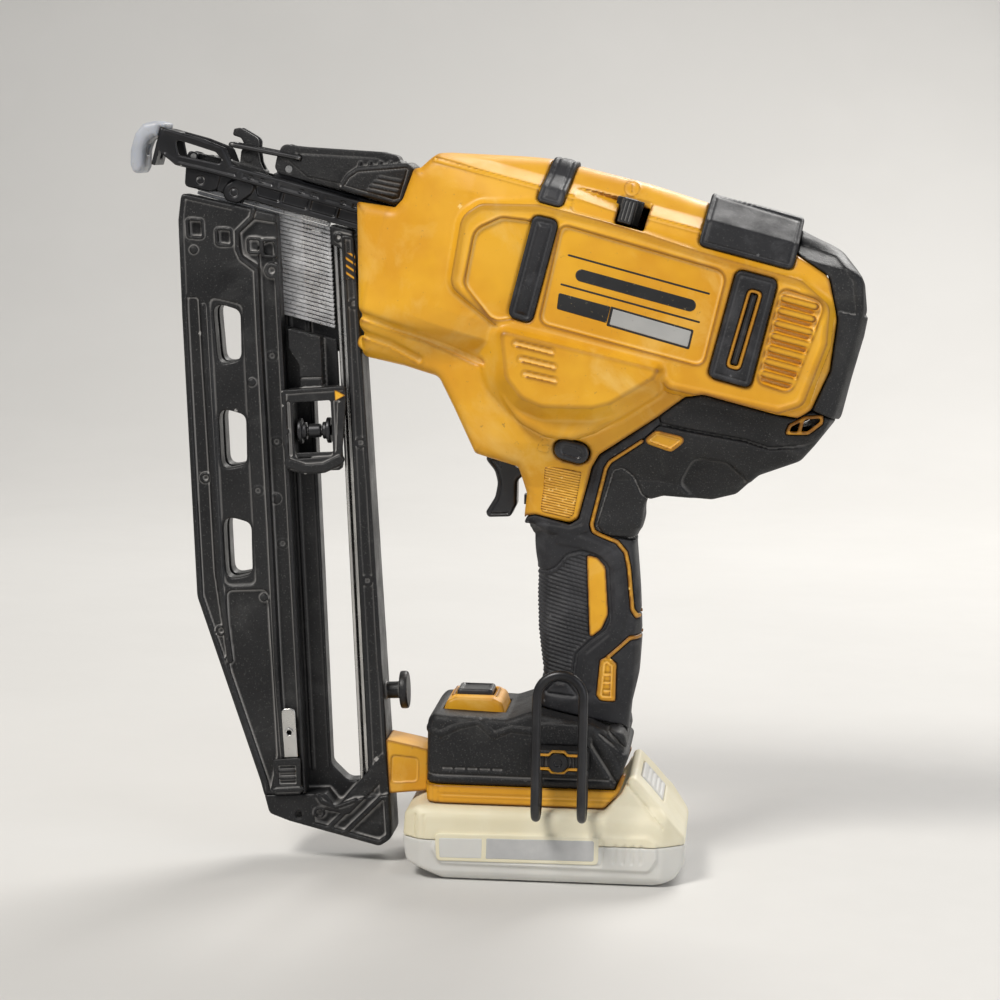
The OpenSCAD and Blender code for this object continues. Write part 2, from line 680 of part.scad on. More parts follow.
// solenoid above the rear of the driver pulls the activation arm down
module solenoid() color("teal") drv() difference() {
  union() {
    translate([80, 0, 19.5]) cylinder(r = 9, h = 16.3);
    translate([80, 0, 18]) cylinder(r = 10, h = 1.6);
  }
  translate([80, 0, 10]) cylinder(r = 3.5, h = 22);
}
module solenoid_plunger() color("silver") drv() union() {
  translate([80, 0, 7.8]) cylinder(r = 3.4, h = 20);
  translate([80, 0, 7.8]) cylinder(r = 4.6, h = 1.6);
}
module activation_arm() color("gray") drv() difference() {
  union() {
    for (s = [-1, 1]) translate([0, 8.6 * s, 0]) slab(-1.2, 1.2)
      outline([[20, 16.4, 2], [52, 17, 3], [84, 12, 2], [84, 9.9, 1], [31, 10, 2], [20, 10.4, 2]]);
    block([72, -8, 9.9], [84, 8, 11.9]);
    block([36, -8, 14.6], [46, 8, 16.2]);
    for (s = [-1, 1]) ycyl(1.96, min(s * 9.6, s * 22.9), max(s * 9.6, s * 22.9), 52, 12.8);
  }
  block([76, -3.8, 5], [90, 3.8, 20]);
  ycyl(1.52, -20, 20, 26, 13);
}
module pinch_roller() color("silver") drv() union() {
  ycyl(6, -6.4, 6.4, 26, 13);
  ycyl(1.5, -9.8, 9.8, 26, 13);
}

// ---- nose -------------------------------------------------------------------------------

module nosepiece() color("dimgray") drv() difference() {
  union() {
    slab(-7.2, 7.2) outline([[-152, 1.6, 1], [-66, 1.6, 0], [-66, -9, 2], [-140, -9, 3], [-152, -5, 2]]);
    block([-118, -3.9, 1.5], [-78, 3.9, 4.6]);
    slab(-3.9, 3.9) outline([[-117, 1.5, 0], [-117, 11.5, 3], [-107, 11.5, 3], [-105, 1.5, 0]]);
    // hinge knuckle of the door
    slab(-7.2, 7.2) outline([[-154.5, 4.4, 1.5], [-150.2, 4.4, 1], [-150.2, -3, 0], [-154.5, -3, 1.5]]);
  }
  // nail channel
  block([-160, -1.3, -1.3], [-60, 1.3, 1.3]);
  // slot the nails rise through
  slab(-channel_half + 0.3, channel_half - 0.3) polygon([[-153, 1.3], [-92.3, 1.3], [-88, -20],
    [-148, -20]]);
  // open top under the door
  block([-160, -1.3, 0], [-121, 1.3, 3]);
  // wells for the latch pin and the door pin
  ycyl(1.52, -20, 20, -112, 7.8);
  ycyl(1.22, -20, 20, -151.9, 2.6);
  block([-156, -4.6, 1.3], [-147.2, 4.6, 6]);
}

module nose_door() color("dimgray") drv() difference() {
  union() {
    slab(-4.3, 4.3) outline([[-153.6, 4.2, 1.5], [-147, 4.2, 0], [-147, 1.8, 0], [-150.2, 1.8, 0.6],
      [-153.6, 1.8, 1.5]]);
    slab(-5.7, 5.7) outline([[-147.2, 1.8, 0.4], [-147.2, 4.6, 0.6], [-121.4, 4.6, 1],
      [-121.4, 1.8, 0.4]]);
    // hook that the bail pulls on
    for (s = [-1, 1]) translate([0, 4.2 * s, 0]) slab(-1.3, 1.3)
      outline([[-133.5, 4.4, 0], [-134, 9.5, 1], [-136.6, 12.5, 1.5], [-138.6, 16, 1.5],
        [-137.4, 18.4, 1], [-133, 18.8, 2],
        [-128, 16, 3], [-127, 11.5, 3], [-123.5, 7, 3], [-122, 4.4, 0]]);
  }
  ycyl(1.22, -20, 20, -151.9, 2.6);
}

module contact_trip() color("dimgray") drv() union() {
  for (s = [-1, 1]) translate([0, 9.3 * s, 0]) slab(-0.8, 0.8)
    outline([[-166.5, 10.8, 2], [-150, 10.8, 2], [-139, 9.6, 2], [-134.5, 3.4, 3], [-70, 3.2, 1],
      [-70, -2.2, 1],
      [-135, -2.2, 3], [-158, -2.8, 2], [-165, 0.6, 2], [-168, 3, 1.5]]);
  block([-166.5, -9.4, 8.8], [-160.5, 9.4, 10.6]);
  difference() {
    block([-168, -9.4, -5.2], [-166.2, 9.4, 10.6]);
    block([-170, -2.2, -2.2], [-160, 2.2, 2.2]);
  }
}

module no_mar_tip() color("white") drv() difference() {
  slab(-10.6, 10.6) outline([[-166.4, 12.4, 2], [-171, 12.6, 4], [-176.5, 9.4, 4], [-178, 2, 5],
    [-177.4, -5.6, 3],
    [-173.4, -9.6, 2], [-168.4, -8.4, 2], [-167.2, -5.4, 1], [-168.1, -5.3, 0], [-168.1, 10.7, 0],
    [-166.4, 10.7, 0]]);
  block([-190, -2.4, -2.4], [-160, 2.4, 2.4]);
}

module trip_spring() color("silver") drv() translate([0, 10.6, 0]) union() {
  translate([0, 0, 0.5]) coil(2.6, 0.45, -69.9, -54.2, 7);
  translate([-69.4, 0, 3.1]) rotate([0, 90, 0]) cylinder(r = 0.4, h = 14.8, $fn = 16);
}

module depth_wheel() color("dimgray") drv() translate([-84.5, 17.4, -9]) rotate([0, 90, 0]) difference() {
  union() {
    cylinder(r = 6, h = 5.4);
    cylinder(r = 2, h = 18);
  }
  for (k = [0:11]) rotate([0, 0, 30 * k]) translate([6.6, 0, -1]) cylinder(r = 1.1, h = 9, $fn = 16);
}

module latch_lever() color("dimgray") drv() difference() {
  union() {
    for (s = [-1, 1]) translate([0, 5 * s, 0]) slab(-0.9, 0.9)
      outline([[-118, 7, 2], [-118.2, 12.5, 3], [-115, 16.8, 3], [-108, 18.2, 2], [-76, 24.6, 2],
        [-76, 12, 2],
        [-96, 9.5, 3], [-104, 4.9, 2], [-116, 4.9, 2]]);
    slab(-5, 5) outline([[-115, 16.8, 1], [-108, 18.2, 1], [-76, 24.6, 1], [-76, 22.4, 1],
      [-107.6, 16.1, 1], [-114, 14.9, 1]]);
    // thumb pad
    slab(-13, 13) outline([[-89.8, 6.6, 2], [-87.6, 14.2, 3], [-83.8, 18.4, 3], [-64, 23.6, 3],
      [-61, 21.6, 2],
      [-64.4, 9, 2], [-67, 6.6, 2]]);
    for (k = [0:4]) translate([-84 + 4 * k, 0, 17.2 + k]) rotate([0, -14, 0]) block([0, -10, 0],
      [1.4, 10, 1.6]);
  }
  ycyl(1.52, -20, 20, -112, 7.8);
  ycyl(1.17, -20, 20, -109, 13.4);
  block([-92, -4.1, 0], [-60, 4.1, 16]);
}

module wire_bail() color("silver") drv() union() {
  for (s = [-1, 1]) {
    translate([-109, 7.2 * s, 13.4]) rotate([0, -94, 0]) cylinder(r = 1.1, h = 29);
    translate([-109, 7.2 * s, 13.4]) sphere(r = 1.1);
    translate([-109, 0, 13.4]) ycyl(1.1, s < 0 ? -7.2 : 4.2, s < 0 ? -4.2 : 7.2, 0, 0);
    translate([-109, 7.2 * s, 13.4]) rotate([0, -94, 0]) translate([0, 0, 29]) sphere(r = 1.1);
  }
  translate([-109, 0, 13.4]) rotate([0, -94, 0]) translate([0, -7.2, 29]) rotate([-90, 0,
    0]) cylinder(r = 1.1, h = 14.4);
}

module nose_pins() color("silver") drv() {
  ycyl(1.5, -6.4, 6.4, -112, 7.8);
  ycyl(1.2, -7, 7, -151.9, 2.6);
}

// ---- magazine -------------------------------------------------------------------------------

mag_side = [[-66.5, 8, 2], [-6, -9, 1], [4.6, -12, 2], [6.4, -130, 0], [8.4, -266, 4], [3, -269.4, 3],
  [-35, -257.6, 3], [-43.5, -254, 3], [-46.5, -240, 3], [-69.3, -160, 12], [-69, -40, 0], [-68.4, -2, 2]];
windows = [[[-56, -36.5, 4], [-44.6, -40.5, 4], [-45.2, -61, 4], [-55, -63, 4]],
  [[-56, -80.5, 4], [-44.6, -84.3, 4], [-45.2, -105, 4], [-56, -107, 4]],
  [[-56.6, -126, 4], [-44.8, -129.8, 4], [-45.4, -151.5, 4], [-56.6, -153.5, 4]]];
far_slot = [[-17, -8, 2], [-0.8, -12.5, 0], [-0.8, -243, 0], [-11, -243.5, 5], [-18, -236, 4]];

module mag_outline(o = 0) outline(mag_side, o);
module window_holes() for (w = windows) slab(-30, 30) outline(w);

// far half, front wall, end block and rear beam
module magazine_body() color("dimgray") mag() difference() {
  union() {
    difference() {
      slab(channel_half, mag_half) mag_outline();
      slab(-30, 30) outline(far_slot);
      // ribs stand between these shallow bays
      for (q = [-70, -116, -164, -210]) slab(mag_half - 3, mag_half + 1)
        outline([[-66, q + 34, 3], [-58, q + 34, 3], [-58, q - 4, 3], [-66, q - 4, 3]]);
      for (q = [-60, -110, -160, -210]) slab(mag_half - 3, mag_half + 1)
        outline([[-40, q + 40, 3], [-21, q + 40, 3], [-21, q - 2, 3], [-40, q - 2, 3]]);
    }
    // front wall
    intersection() {
      slab(-channel_half, channel_half + e) difference() {
        mag_outline();
        mag_outline(1.6);
      }
      block([-80, -5, -245], [-44, 5, 0]);
    }
    // rear beam
    intersection() {
      slab(-9, 9) mag_outline();
      block([-0.8, -20, -248], [20, 20, -9]);
    }
    // end block
    intersection() {
      slab(-mag_half, mag_half) mag_outline();
      slab(-20, 20) polygon([[-50, -246], [-19, -246], [-14, -251], [-5, -248.5], [20, -246],
        [20, -275], [-50, -275]]);
    }
    // post on the rear edge
    translate([7, 0, -204.4]) rotate([0, 90, 0]) cylinder(r = 4.4, h = 7.6);
    translate([14, 0, -204.4]) rotate([0, 90, 0]) cylinder(r = 8.2, h = 3.2);
  }
  window_holes();
  for (p = mag_screws) ycyl(1.5, -30, 9.5, p[0], p[1]);
}
mag_screws = [[-62, -14], [-34, -22], [-63, -110], [-34, -120], [-60, -175], [-34, -216], [-26, -255]];

module magazine_cover() color("dimgray") mag() difference() {
  union() {
    intersection() {
      slab(-mag_half, -channel_half) mag_outline();
      slab(-30, 30) polygon([[-80, 20], [-27.4, 20], [-27.4, -245.8], [-80, -245.8]]);
    }
    // bright stop shoulder beside the nails
    slab(-mag_half, -mag_half + 4) polygon([[-30, -12], [-27, -12], [-27, -244], [-30, -244]]);
  }
  window_holes();
  // long shallow channel between the two ribs
  slab(-mag_half - 1, -mag_half + 3) outline([[-42, -6, 2], [-31.5, -9, 2], [-31.5, -226, 3],
    [-42, -226, 3]]);
  slab(-mag_half - 1, -mag_half + 1.4) outline([[-65.5, -2, 2], [-46, -8, 2], [-43.5, -32, 2],
    [-66, -32, 3]]);
  slab(-mag_half - 1, -mag_half + 2) outline([[-64, -168, 3], [-46, -168, 3], [-46, -228, 3]]);
  for (p = mag_screws) ycyl(1.5, -30, 9.5, p[0], p[1]);
}

module magazine_rail() color("silver") mag() union() {
  block([-4.9, -4.2, -242.6], [-3.3, 4.2, -13.2]);
  block([-3.4, -1.5, -242.6], [-0.8, 1.5, -13.2]);
}

// collated strip: each nail lies along the drive line
module nail_strip() color("silver") drv() union() {
  for (k = [1:nail_count]) {
    t = nail_pitch * k;
    du = t * tan(drive_tilt + mag_lean);
    translate([-93.6 + du, 0, -t]) {
      translate([-nail_len, -0.62, -0.86]) cube([nail_len, 1.24, 1.72]);
      translate([-1.2, -1.25, -0.86]) cube([1.2, 2.5, 1.72]);
    }
  }
}

pusher_side = [[-28.2, -74, 2], [-1.5, -73.2, 1], [-1.2, -80, 2], [-4.3, -101, 2], [-4.3, -108.6, 1],
  [-27, -109, 2], [-29, -96, 3]];
module pusher() color("dimgray") mag() difference() {
  union() {
    difference() {
      union() {
        slab(-15, -mag_half - 0.3) outline(pusher_side);
        slab(-mag_half - 0.4, -4.6) outline([[-26.7, -74, 1], [-5.4, -73.4, 1], [-5.4, -108.6, 1],
          [-26.7, -109, 1]]);
      }
      slab(-20, 0) outline([[-24, -79, 2], [-8, -79, 2], [-8, -103, 2], [-24, -103, 2]]);
    }
    // follower block and tongue in the channel
    slab(-11, -1) outline([[-25, -48.6, 0.6], [-11.5, -53, 0.6], [-11.5, -76, 0], [-21, -76, 0],
      [-21, -64, 1], [-25, -57, 1]]);
    slab(-1.25, 1.25) polygon([[-42, -43.4], [-6, -54.8], [-6, -108], [-26, -108], [-42, -70]]);
    slab(-5, -1) polygon([[-22, -76], [-8, -76], [-8, -79.6], [-22, -79.6]]);
    slab(-5, -1) polygon([[-26, -103], [-6, -103], [-6, -108], [-26, -108]]);
  }
  ycyl(1.52, -20, -3, -16, -92);
  slab(-1.5, 1.5) polygon([[-25, -80], [-7, -80], [-7, -102], [-25, -102]]);
}
module pusher_reel() color("silver") mag() union() {
  ycyl(6.6, -12.5, -4, -16, -92);
  block([-23.9, -9.4, -93.2], [-8.1, -7.4, -90.8]);
}

module magazine_end_latch() color("gray") mag() union() {
  slab(-14.4, -mag_half) outline([[-40.3, -230.4, 1], [-28.6, -230, 1], [-29, -245.6, 1],
    [-40.3, -245.6, 1]]);
  slab(-13, -mag_half) outline([[-36.6, -208.6, 1], [-29.7, -208.6, 1], [-29.7, -229, 0.5],
    [-36.6, -229, 0.5]]);
}

// ---- selection -------------------------------------------------------------

left_housing();
right_housing();
housing_screws();
rear_cap();
rear_undercover();
top_strap();
side_strips();
bumper_frames();
top_rear_bumper();
stall_lever();
grip_sleeve();
grip_inlay();
foot_cover();
foot_frame();
foot_base_ring();
link_block();
mode_bezel();
mode_button();
belt_hook();
belt_hook_screw();
hook_insert();
terminal_block();
control_board();
battery_upper();
battery_lower();
battery_cells();
battery_release();
trigger();
trigger_pin();
trigger_spring();
trigger_switch();
lock_off_button();
inner_frame();
motor_stator();
flywheel_rotor();
motor_bearings();
driver();
guide_rods();
return_springs();
front_stops();
solenoid();
solenoid_plunger();
activation_arm();
pinch_roller();
nosepiece();
nose_door();
contact_trip();
no_mar_tip();
trip_spring();
depth_wheel();
latch_lever();
wire_bail();
nose_pins();
magazine_body();
magazine_cover();
magazine_rail();
nail_strip();
pusher();
pusher_reel();
magazine_end_latch();
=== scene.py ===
# Visual model of a cordless angled finish nailer on its battery pack.
# Lengths are millimetres until a mesh is made; +X rear, +Y right side, +Z up.
import math
import bpy
import numpy as np
import openvdb as vdb
from mathutils import Matrix, Vector


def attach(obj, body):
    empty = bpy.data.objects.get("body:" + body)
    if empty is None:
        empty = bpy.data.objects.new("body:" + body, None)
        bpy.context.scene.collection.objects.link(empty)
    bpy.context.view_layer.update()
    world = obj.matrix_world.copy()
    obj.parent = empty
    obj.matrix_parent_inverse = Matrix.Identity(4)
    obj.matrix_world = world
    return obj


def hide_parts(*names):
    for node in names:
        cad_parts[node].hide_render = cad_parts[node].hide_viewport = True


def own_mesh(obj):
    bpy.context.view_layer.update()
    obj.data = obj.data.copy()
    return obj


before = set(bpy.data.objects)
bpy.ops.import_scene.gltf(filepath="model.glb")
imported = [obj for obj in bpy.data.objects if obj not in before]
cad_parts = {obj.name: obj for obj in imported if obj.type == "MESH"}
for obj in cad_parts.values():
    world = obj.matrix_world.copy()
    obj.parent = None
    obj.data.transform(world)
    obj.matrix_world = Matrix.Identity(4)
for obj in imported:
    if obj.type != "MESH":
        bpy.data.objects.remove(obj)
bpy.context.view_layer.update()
MM = 0.001

# ---------------------------------------------------------------- the two leaning frames

# the drive line leans forward by this angle and passes over the origin at this height
DRIVE_LEAN = math.radians(14)
DRIVE_COS, DRIVE_SIN = math.cos(DRIVE_LEAN), math.sin(DRIVE_LEAN)
DRIVE_Z = 257
# the magazine leans back by this angle about a point beside the nose
MAG_LEAN = math.radians(3.5)
MAG_COS, MAG_SIN = math.cos(MAG_LEAN), math.sin(MAG_LEAN)
MAG_X, MAG_Z = -84, 276


def drv_fold(p):
    """From (along the drive line, y, across it) to the tool's own axes."""
    x = DRIVE_COS * p[:, 0] + DRIVE_SIN * p[:, 2]
    z = DRIVE_Z - DRIVE_SIN * p[:, 0] + DRIVE_COS * p[:, 2]
    return np.stack([x, p[:, 1], z], 1)


def drv_pt(u, y, w):
    """One point of the drive line's frame, in the tool's own axes."""
    return tuple(drv_fold(np.array([[u, y, w]], float))[0])


def mag_fold(p):
    """From the magazine's upright frame to the tool's own axes."""
    x = MAG_X + MAG_COS * p[:, 0] - MAG_SIN * p[:, 2]
    z = MAG_Z + MAG_SIN * p[:, 0] + MAG_COS * p[:, 2]
    return np.stack([x, p[:, 1], z], 1)


# ---------------------------------------------------------------- fields: signed distances, negative inside
# In what follows g is a piece's grid, f the field of the piece so far, and k the size of a blend.

def corner_arcs(points, n=5):
    """Replaces each corner (x, y, size) of a closed outline by a smooth round of n steps."""
    out = []
    count = len(points)
    for i in range(count):
        c = np.array(points[i][:2], float)
        r = points[i][2] if len(points[i]) > 2 else 0
        a = np.array(points[i - 1][:2], float) - c
        b = np.array(points[(i + 1) % count][:2], float) - c
        la, lb = np.hypot(*a), np.hypot(*b)
        if r <= 0 or la < 1e-6 or lb < 1e-6:
            out.append(c)
            continue
        a, b = a / la, b / lb
        half = math.acos(max(-1.0, min(1.0, float(a @ b)))) / 2
        t = min(r / max(math.tan(half), 1e-3), 0.48 * la, 0.48 * lb)
        for k in range(n + 1):
            s = k / n
            out.append(c + a * t * (1 - s) ** 2 + b * t * s ** 2)
    return np.array(out)


def poly_sd(points, X, Z):
    """Signed distance to a closed polygon, negative inside."""
    d = np.full(X.shape, 1e9, np.float32)
    inside = np.zeros(X.shape, bool)
    for i in range(len(points)):
        ax, az = points[i - 1]
        bx, bz = points[i]
        ex, ez = bx - ax, bz - az
        wx, wz = X - ax, Z - az
        t = np.clip((wx * ex + wz * ez) / max(ex * ex + ez * ez, 1e-9), 0, 1)
        d = np.minimum(d, (wx - ex * t) ** 2 + (wz - ez * t) ** 2)
        if az != bz:
            inside ^= ((az > Z) != (bz > Z)) & (X < (bx - ax) * (Z - az) / (bz - az) + ax)
    d = np.sqrt(d)
    return np.where(inside, -d, d).astype(np.float32)


def path_sd(points, X, Z):
    """Distance to an open line."""
    d = np.full(X.shape, 1e9, np.float32)
    pts = [np.array(p[:2], float) for p in points]
    for a, b in zip(pts[:-1], pts[1:]):
        e = b - a
        t = np.clip(((X - a[0]) * e[0] + (Z - a[1]) * e[1]) / max(float(e @ e), 1e-9), 0, 1)
        d = np.minimum(d, (X - a[0] - e[0] * t) ** 2 + (Z - a[1] - e[1] * t) ** 2)
    return np.sqrt(d).astype(np.float32)


def flat(a):
    """A field over x and z, made to hold at every y."""
    return np.asarray(a, np.float32)[:, None, :]


def smax(a, b, k=0.0):
    """What two shapes have in common, with an edge rounded by k."""
    if k <= 0:
        return np.maximum(a, b)
    h = np.maximum(k - np.abs(a - b), 0)
    return np.maximum(a, b) + h * h * (0.25 / k)


def smin(a, b, k=0.0):
    """Two shapes joined, with a fillet of k."""
    return -smax(-a, -b, k)


def cut(f, tool, k=0.0):
    """One shape less another, with an edge rounded by k."""
    return smax(f, -tool, k)


def within(a, size):
    """Where a field is this near to zero: a wall along a surface, or a band across an axis."""
    return np.abs(a) - size


def both(half):
    """A symmetric outline from its half, given from the top down as (y, z, r)."""
    return list(half) + [(-p[0],) + tuple(p[1:]) for p in reversed(half)]


def mirrored(half):
    """A symmetric outline from its +y half, given as (v, y, r) from low v to high v."""
    return list(half) + [(p[0], -p[1]) + tuple(p[2:]) for p in reversed(half)]


class Grid:
    """A box of voxels; with side = -1 its piece is worked out on +y and then turned over to -y."""

    def __init__(self, lo, hi, h, side=0):
        self.h, self.lo, self.s = h, np.array(lo, float), side
        self.ax = [lo[i] + h * np.arange(int(math.ceil((hi[i] - lo[i]) / h)) + 1) for i in range(3)]
        self.X, self.Z = np.meshgrid(self.ax[0], self.ax[2], indexing="ij")
        self.y = self.ax[1].astype(np.float32)[None, :, None]
        self.u = DRIVE_COS * self.X - DRIVE_SIN * (self.Z - DRIVE_Z)
        self.w = DRIVE_SIN * self.X + DRIVE_COS * (self.Z - DRIVE_Z)

    def side_of(self, pts, n=5):
        """Outline in (x, z), the same at every y."""
        return flat(poly_sd(corner_arcs(pts, n), self.X, self.Z))

    def line(self, pts):
        """Distance to a line in (x, z)."""
        return flat(path_sd(pts, self.X, self.Z))

    def table(self, points, values, swap):
        """Looks up an outline in (y, v), or (v, y) with swap, where v is a field over (x, z)."""
        lo, hi = float(values.min()) - 1, float(values.max()) + 1
        step = self.h * 0.5
        axis = np.arange(lo, hi + 2 * step, step)
        Y, V = np.meshgrid(self.ax[1], axis, indexing="ij")
        t = poly_sd(points, V, Y) if swap else poly_sd(points, Y, V)
        pos = (values - lo) / step
        i = np.floor(pos).astype(int)
        fr = (pos - i).astype(np.float32)
        out = t[:, i] * (1 - fr)[None] + t[:, i + 1] * fr[None]
        return np.ascontiguousarray(out.transpose(1, 0, 2))

    def section(self, half, values):
        """Outline in (y, v), given as its +y half from high v to low v."""
        return self.table(corner_arcs(both(half)), values, False)

    def plan(self, half, values):
        """Outline in (v, y), given as its +y half from low v to high v."""
        return self.table(corner_arcs(mirrored(half)), values, True)

    def slab(self, y0, y1):
        """Everything between two planes across y."""
        return np.maximum(y0 - self.y, self.y - y1)

    def ycyl(self, x, z, r):
        """Round bar along y."""
        return flat(np.hypot(self.X - x, self.Z - z) - r)


# ---------------------------------------------------------------- from a field to a piece

def mesh_object(name, verts, tris, quads):
    """A smooth-shaded object from millimetre points and its triangles and quads."""
    mesh = bpy.data.meshes.new(name)
    nt, nq = len(tris), len(quads)
    mesh.vertices.add(len(verts))
    mesh.vertices.foreach_set("co", (np.asarray(verts) * MM).astype(np.float32).ravel())
    loops = np.concatenate([np.asarray(tris, np.int32).ravel(), np.asarray(quads, np.int32).ravel()])
    mesh.loops.add(len(loops))
    mesh.loops.foreach_set("vertex_index", loops)
    mesh.polygons.add(nt + nq)
    starts = np.concatenate([np.arange(nt) * 3, nt * 3 + np.arange(nq) * 4]).astype(np.int32)
    mesh.polygons.foreach_set("loop_start", starts)
    mesh.polygons.foreach_set("use_smooth", np.ones(nt + nq, bool))
    mesh.update(calc_edges=True)
    mesh.validate()
    ob = bpy.data.objects.new(name, mesh)
    bpy.context.scene.collection.objects.link(ob)
    return ob


def relax(pts, tris, quads):
    """Evens out the voxel steps without shrinking the piece."""
    pairs = [quads[:, [k, (k + 1) % 4]] for k in range(4)] + [tris[:, [k, (k + 1) % 3]] for k in range(3)]
    a, b = np.concatenate(pairs).T
    count = len(pts)
    degree = np.maximum(np.bincount(a, minlength=count) + np.bincount(b, minlength=count), 1)
    for weight in (0.55, -0.57):
        mean = np.stack([np.bincount(a, pts[b, i], count) + np.bincount(b, pts[a, i], count)
                         for i in range(3)], 1)
        pts = pts + weight * (mean / degree[:, None] - pts)
    return pts


def skin(name, grid, f, body, mat, nodes=(), fold=None):
    """Turns a field into a piece: meshed, finished, and riding on its body."""
    h = grid.h
    band = 3.0 * h
    f = np.broadcast_to(f, tuple(len(a) for a in grid.ax))
    f = np.clip(f, -band, band).astype(np.float32)
    volume = vdb.FloatGrid(band)
    volume.copyFromArray(np.ascontiguousarray(f))
    pts, tris, quads = volume.convertToPolygons(0.0, 0.0)
    pts = np.asarray(pts, float) * h + grid.lo
    tris, quads = np.asarray(tris, np.int64), np.asarray(quads, np.int64)
    pts = relax(pts, tris, quads)
    if grid.s < 0:
        pts[:, 1] *= -1
    else:
        tris, quads = tris[:, ::-1], quads[:, ::-1]
    if fold is not None:
        pts = fold(pts)
    ob = mesh_object(name, pts, tris, quads)
    return finish(ob, body, mat, nodes)


def finish(ob, body, mat, nodes=()):
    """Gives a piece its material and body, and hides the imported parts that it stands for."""
    ob.data.materials.clear()
    ob.data.materials.append(mat)
    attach(ob, body)
    if nodes:
        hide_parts(*nodes)
    return ob


# ---------------------------------------------------------------- materials

def ramp(tree, fac, stops):
    """A colour ramp over these (position, value or colour) stops."""
    node = tree.nodes.new("ShaderNodeValToRGB")
    while len(node.color_ramp.elements) > len(stops):
        node.color_ramp.elements.remove(node.color_ramp.elements[-1])
    while len(node.color_ramp.elements) < len(stops):
        node.color_ramp.elements.new(0.5)
    for el, (pos, value) in zip(node.color_ramp.elements, stops):
        el.position = pos
        el.color = value if isinstance(value, tuple) else (value, value, value, 1)
    tree.links.new(fac, node.inputs["Fac"])
    return node.outputs["Color"]


def noise(tree, scale, detail=3.0, rough=0.55, stretch=None, distortion=0.0):
    """A noise in the piece's own axes, which stretch can draw out into strokes."""
    coord = tree.nodes.new("ShaderNodeTexCoord").outputs["Object"]
    if stretch:
        mapping = tree.nodes.new("ShaderNodeMapping")
        mapping.inputs["Scale"].default_value = stretch
        tree.links.new(coord, mapping.inputs["Vector"])
        coord = mapping.outputs["Vector"]
    node = tree.nodes.new("ShaderNodeTexNoise")
    node.inputs["Scale"].default_value = scale
    node.inputs["Detail"].default_value = detail
    node.inputs["Roughness"].default_value = rough
    node.inputs["Distortion"].default_value = distortion
    tree.links.new(coord, node.inputs["Vector"])
    return node.outputs["Fac"]


def blend_colour(tree, fac, a, b):
    """Mixes two colours, each a fixed one or another node's output."""
    node = tree.nodes.new("ShaderNodeMix")
    node.data_type = "RGBA"
    tree.links.new(fac, node.inputs["Factor"])
    for socket, value in ((node.inputs["A"], a), (node.inputs["B"], b)):
        if isinstance(value, tuple):
            socket.default_value = value
        else:
            tree.links.new(value, socket)
    return node.outputs["Result"]


def rgb(*c):
    return tuple(c) + (1.0,)


def finish_look(name, base, alt, rough=(0.4, 0.6), metal=0.0, mottle=18, patch=None, specks=None, edge=None,
                hollow_shade=None, grain=(2200, 0.12, 0.0002), brushed=None, specular=0.5, subsurface=0.0):
    """A procedural finish: mottled colour, patches, specks, a painted highlight on edges, painted shade in
    hollows, grain.

    patch and specks are (scale, from, to, colour) over a noise. The edge and hollow values are (from, to,
    strength, colour) over the pointiness of the shape: a painted highlight on convex edges and painted shade
    in hollows. grain is a bump as (scale, strength, depth in metres).
    """
    mat = bpy.data.materials.new(name)
    mat.use_nodes = True
    t = mat.node_tree
    bsdf = t.nodes["Principled BSDF"]
    colour = blend_colour(t, ramp(t, noise(t, mottle, 4, 0.6), [(0.42, 0.0), (0.62, 1.0)]), base, alt)
    if patch:
        scale, lo, hi, tint = patch
        colour = blend_colour(t, ramp(t, noise(t, scale, 6, 0.65, distortion=0.6), [(lo, 0.0), (hi, 0.85)]),
                              colour, tint)
    if specks:
        scale, lo, hi, tint = specks
        colour = blend_colour(t, ramp(t, noise(t, scale, 3, 0.7), [(lo, 0.0), (hi, 1.0)]), colour, tint)
    # painted light from the pointiness: painted shade darkens the hollows, a painted highlight lightens
    # convex edges
    if hollow_shade or edge:
        point = t.nodes.new("ShaderNodeNewGeometry").outputs["Pointiness"]
        # painted shade in the hollows
        if hollow_shade:
            colour = blend_colour(t, ramp(t, point, [(hollow_shade[0], hollow_shade[2]), (hollow_shade[1], 0.0)]), colour, hollow_shade[3])
        # painted highlight along convex edges
        if edge:
            colour = blend_colour(t, ramp(t, point, [(edge[0], 0.0), (edge[1], edge[2])]), colour, edge[3])
    t.links.new(colour, bsdf.inputs["Base Color"])
    t.links.new(ramp(t, noise(t, 60, 5, 0.65), [(0.35, rough[0]), (0.68, rough[1])]),
                bsdf.inputs["Roughness"])
    bsdf.inputs["Metallic"].default_value = metal
    bsdf.inputs["Specular IOR Level"].default_value = specular
    bsdf.inputs["Subsurface Weight"].default_value = subsurface
    if subsurface:
        bsdf.inputs["Subsurface Radius"].default_value = (0.004, 0.003, 0.002)
        bsdf.inputs["Subsurface Scale"].default_value = 1.0
    scale, strength, dist = grain
    bump = t.nodes.new("ShaderNodeBump")
    bump.inputs["Strength"].default_value = strength
    bump.inputs["Distance"].default_value = dist
    t.links.new(noise(t, scale, 2, 0.6, stretch=brushed), bump.inputs["Height"])
    t.links.new(bump.outputs["Normal"], bsdf.inputs["Normal"])
    return mat
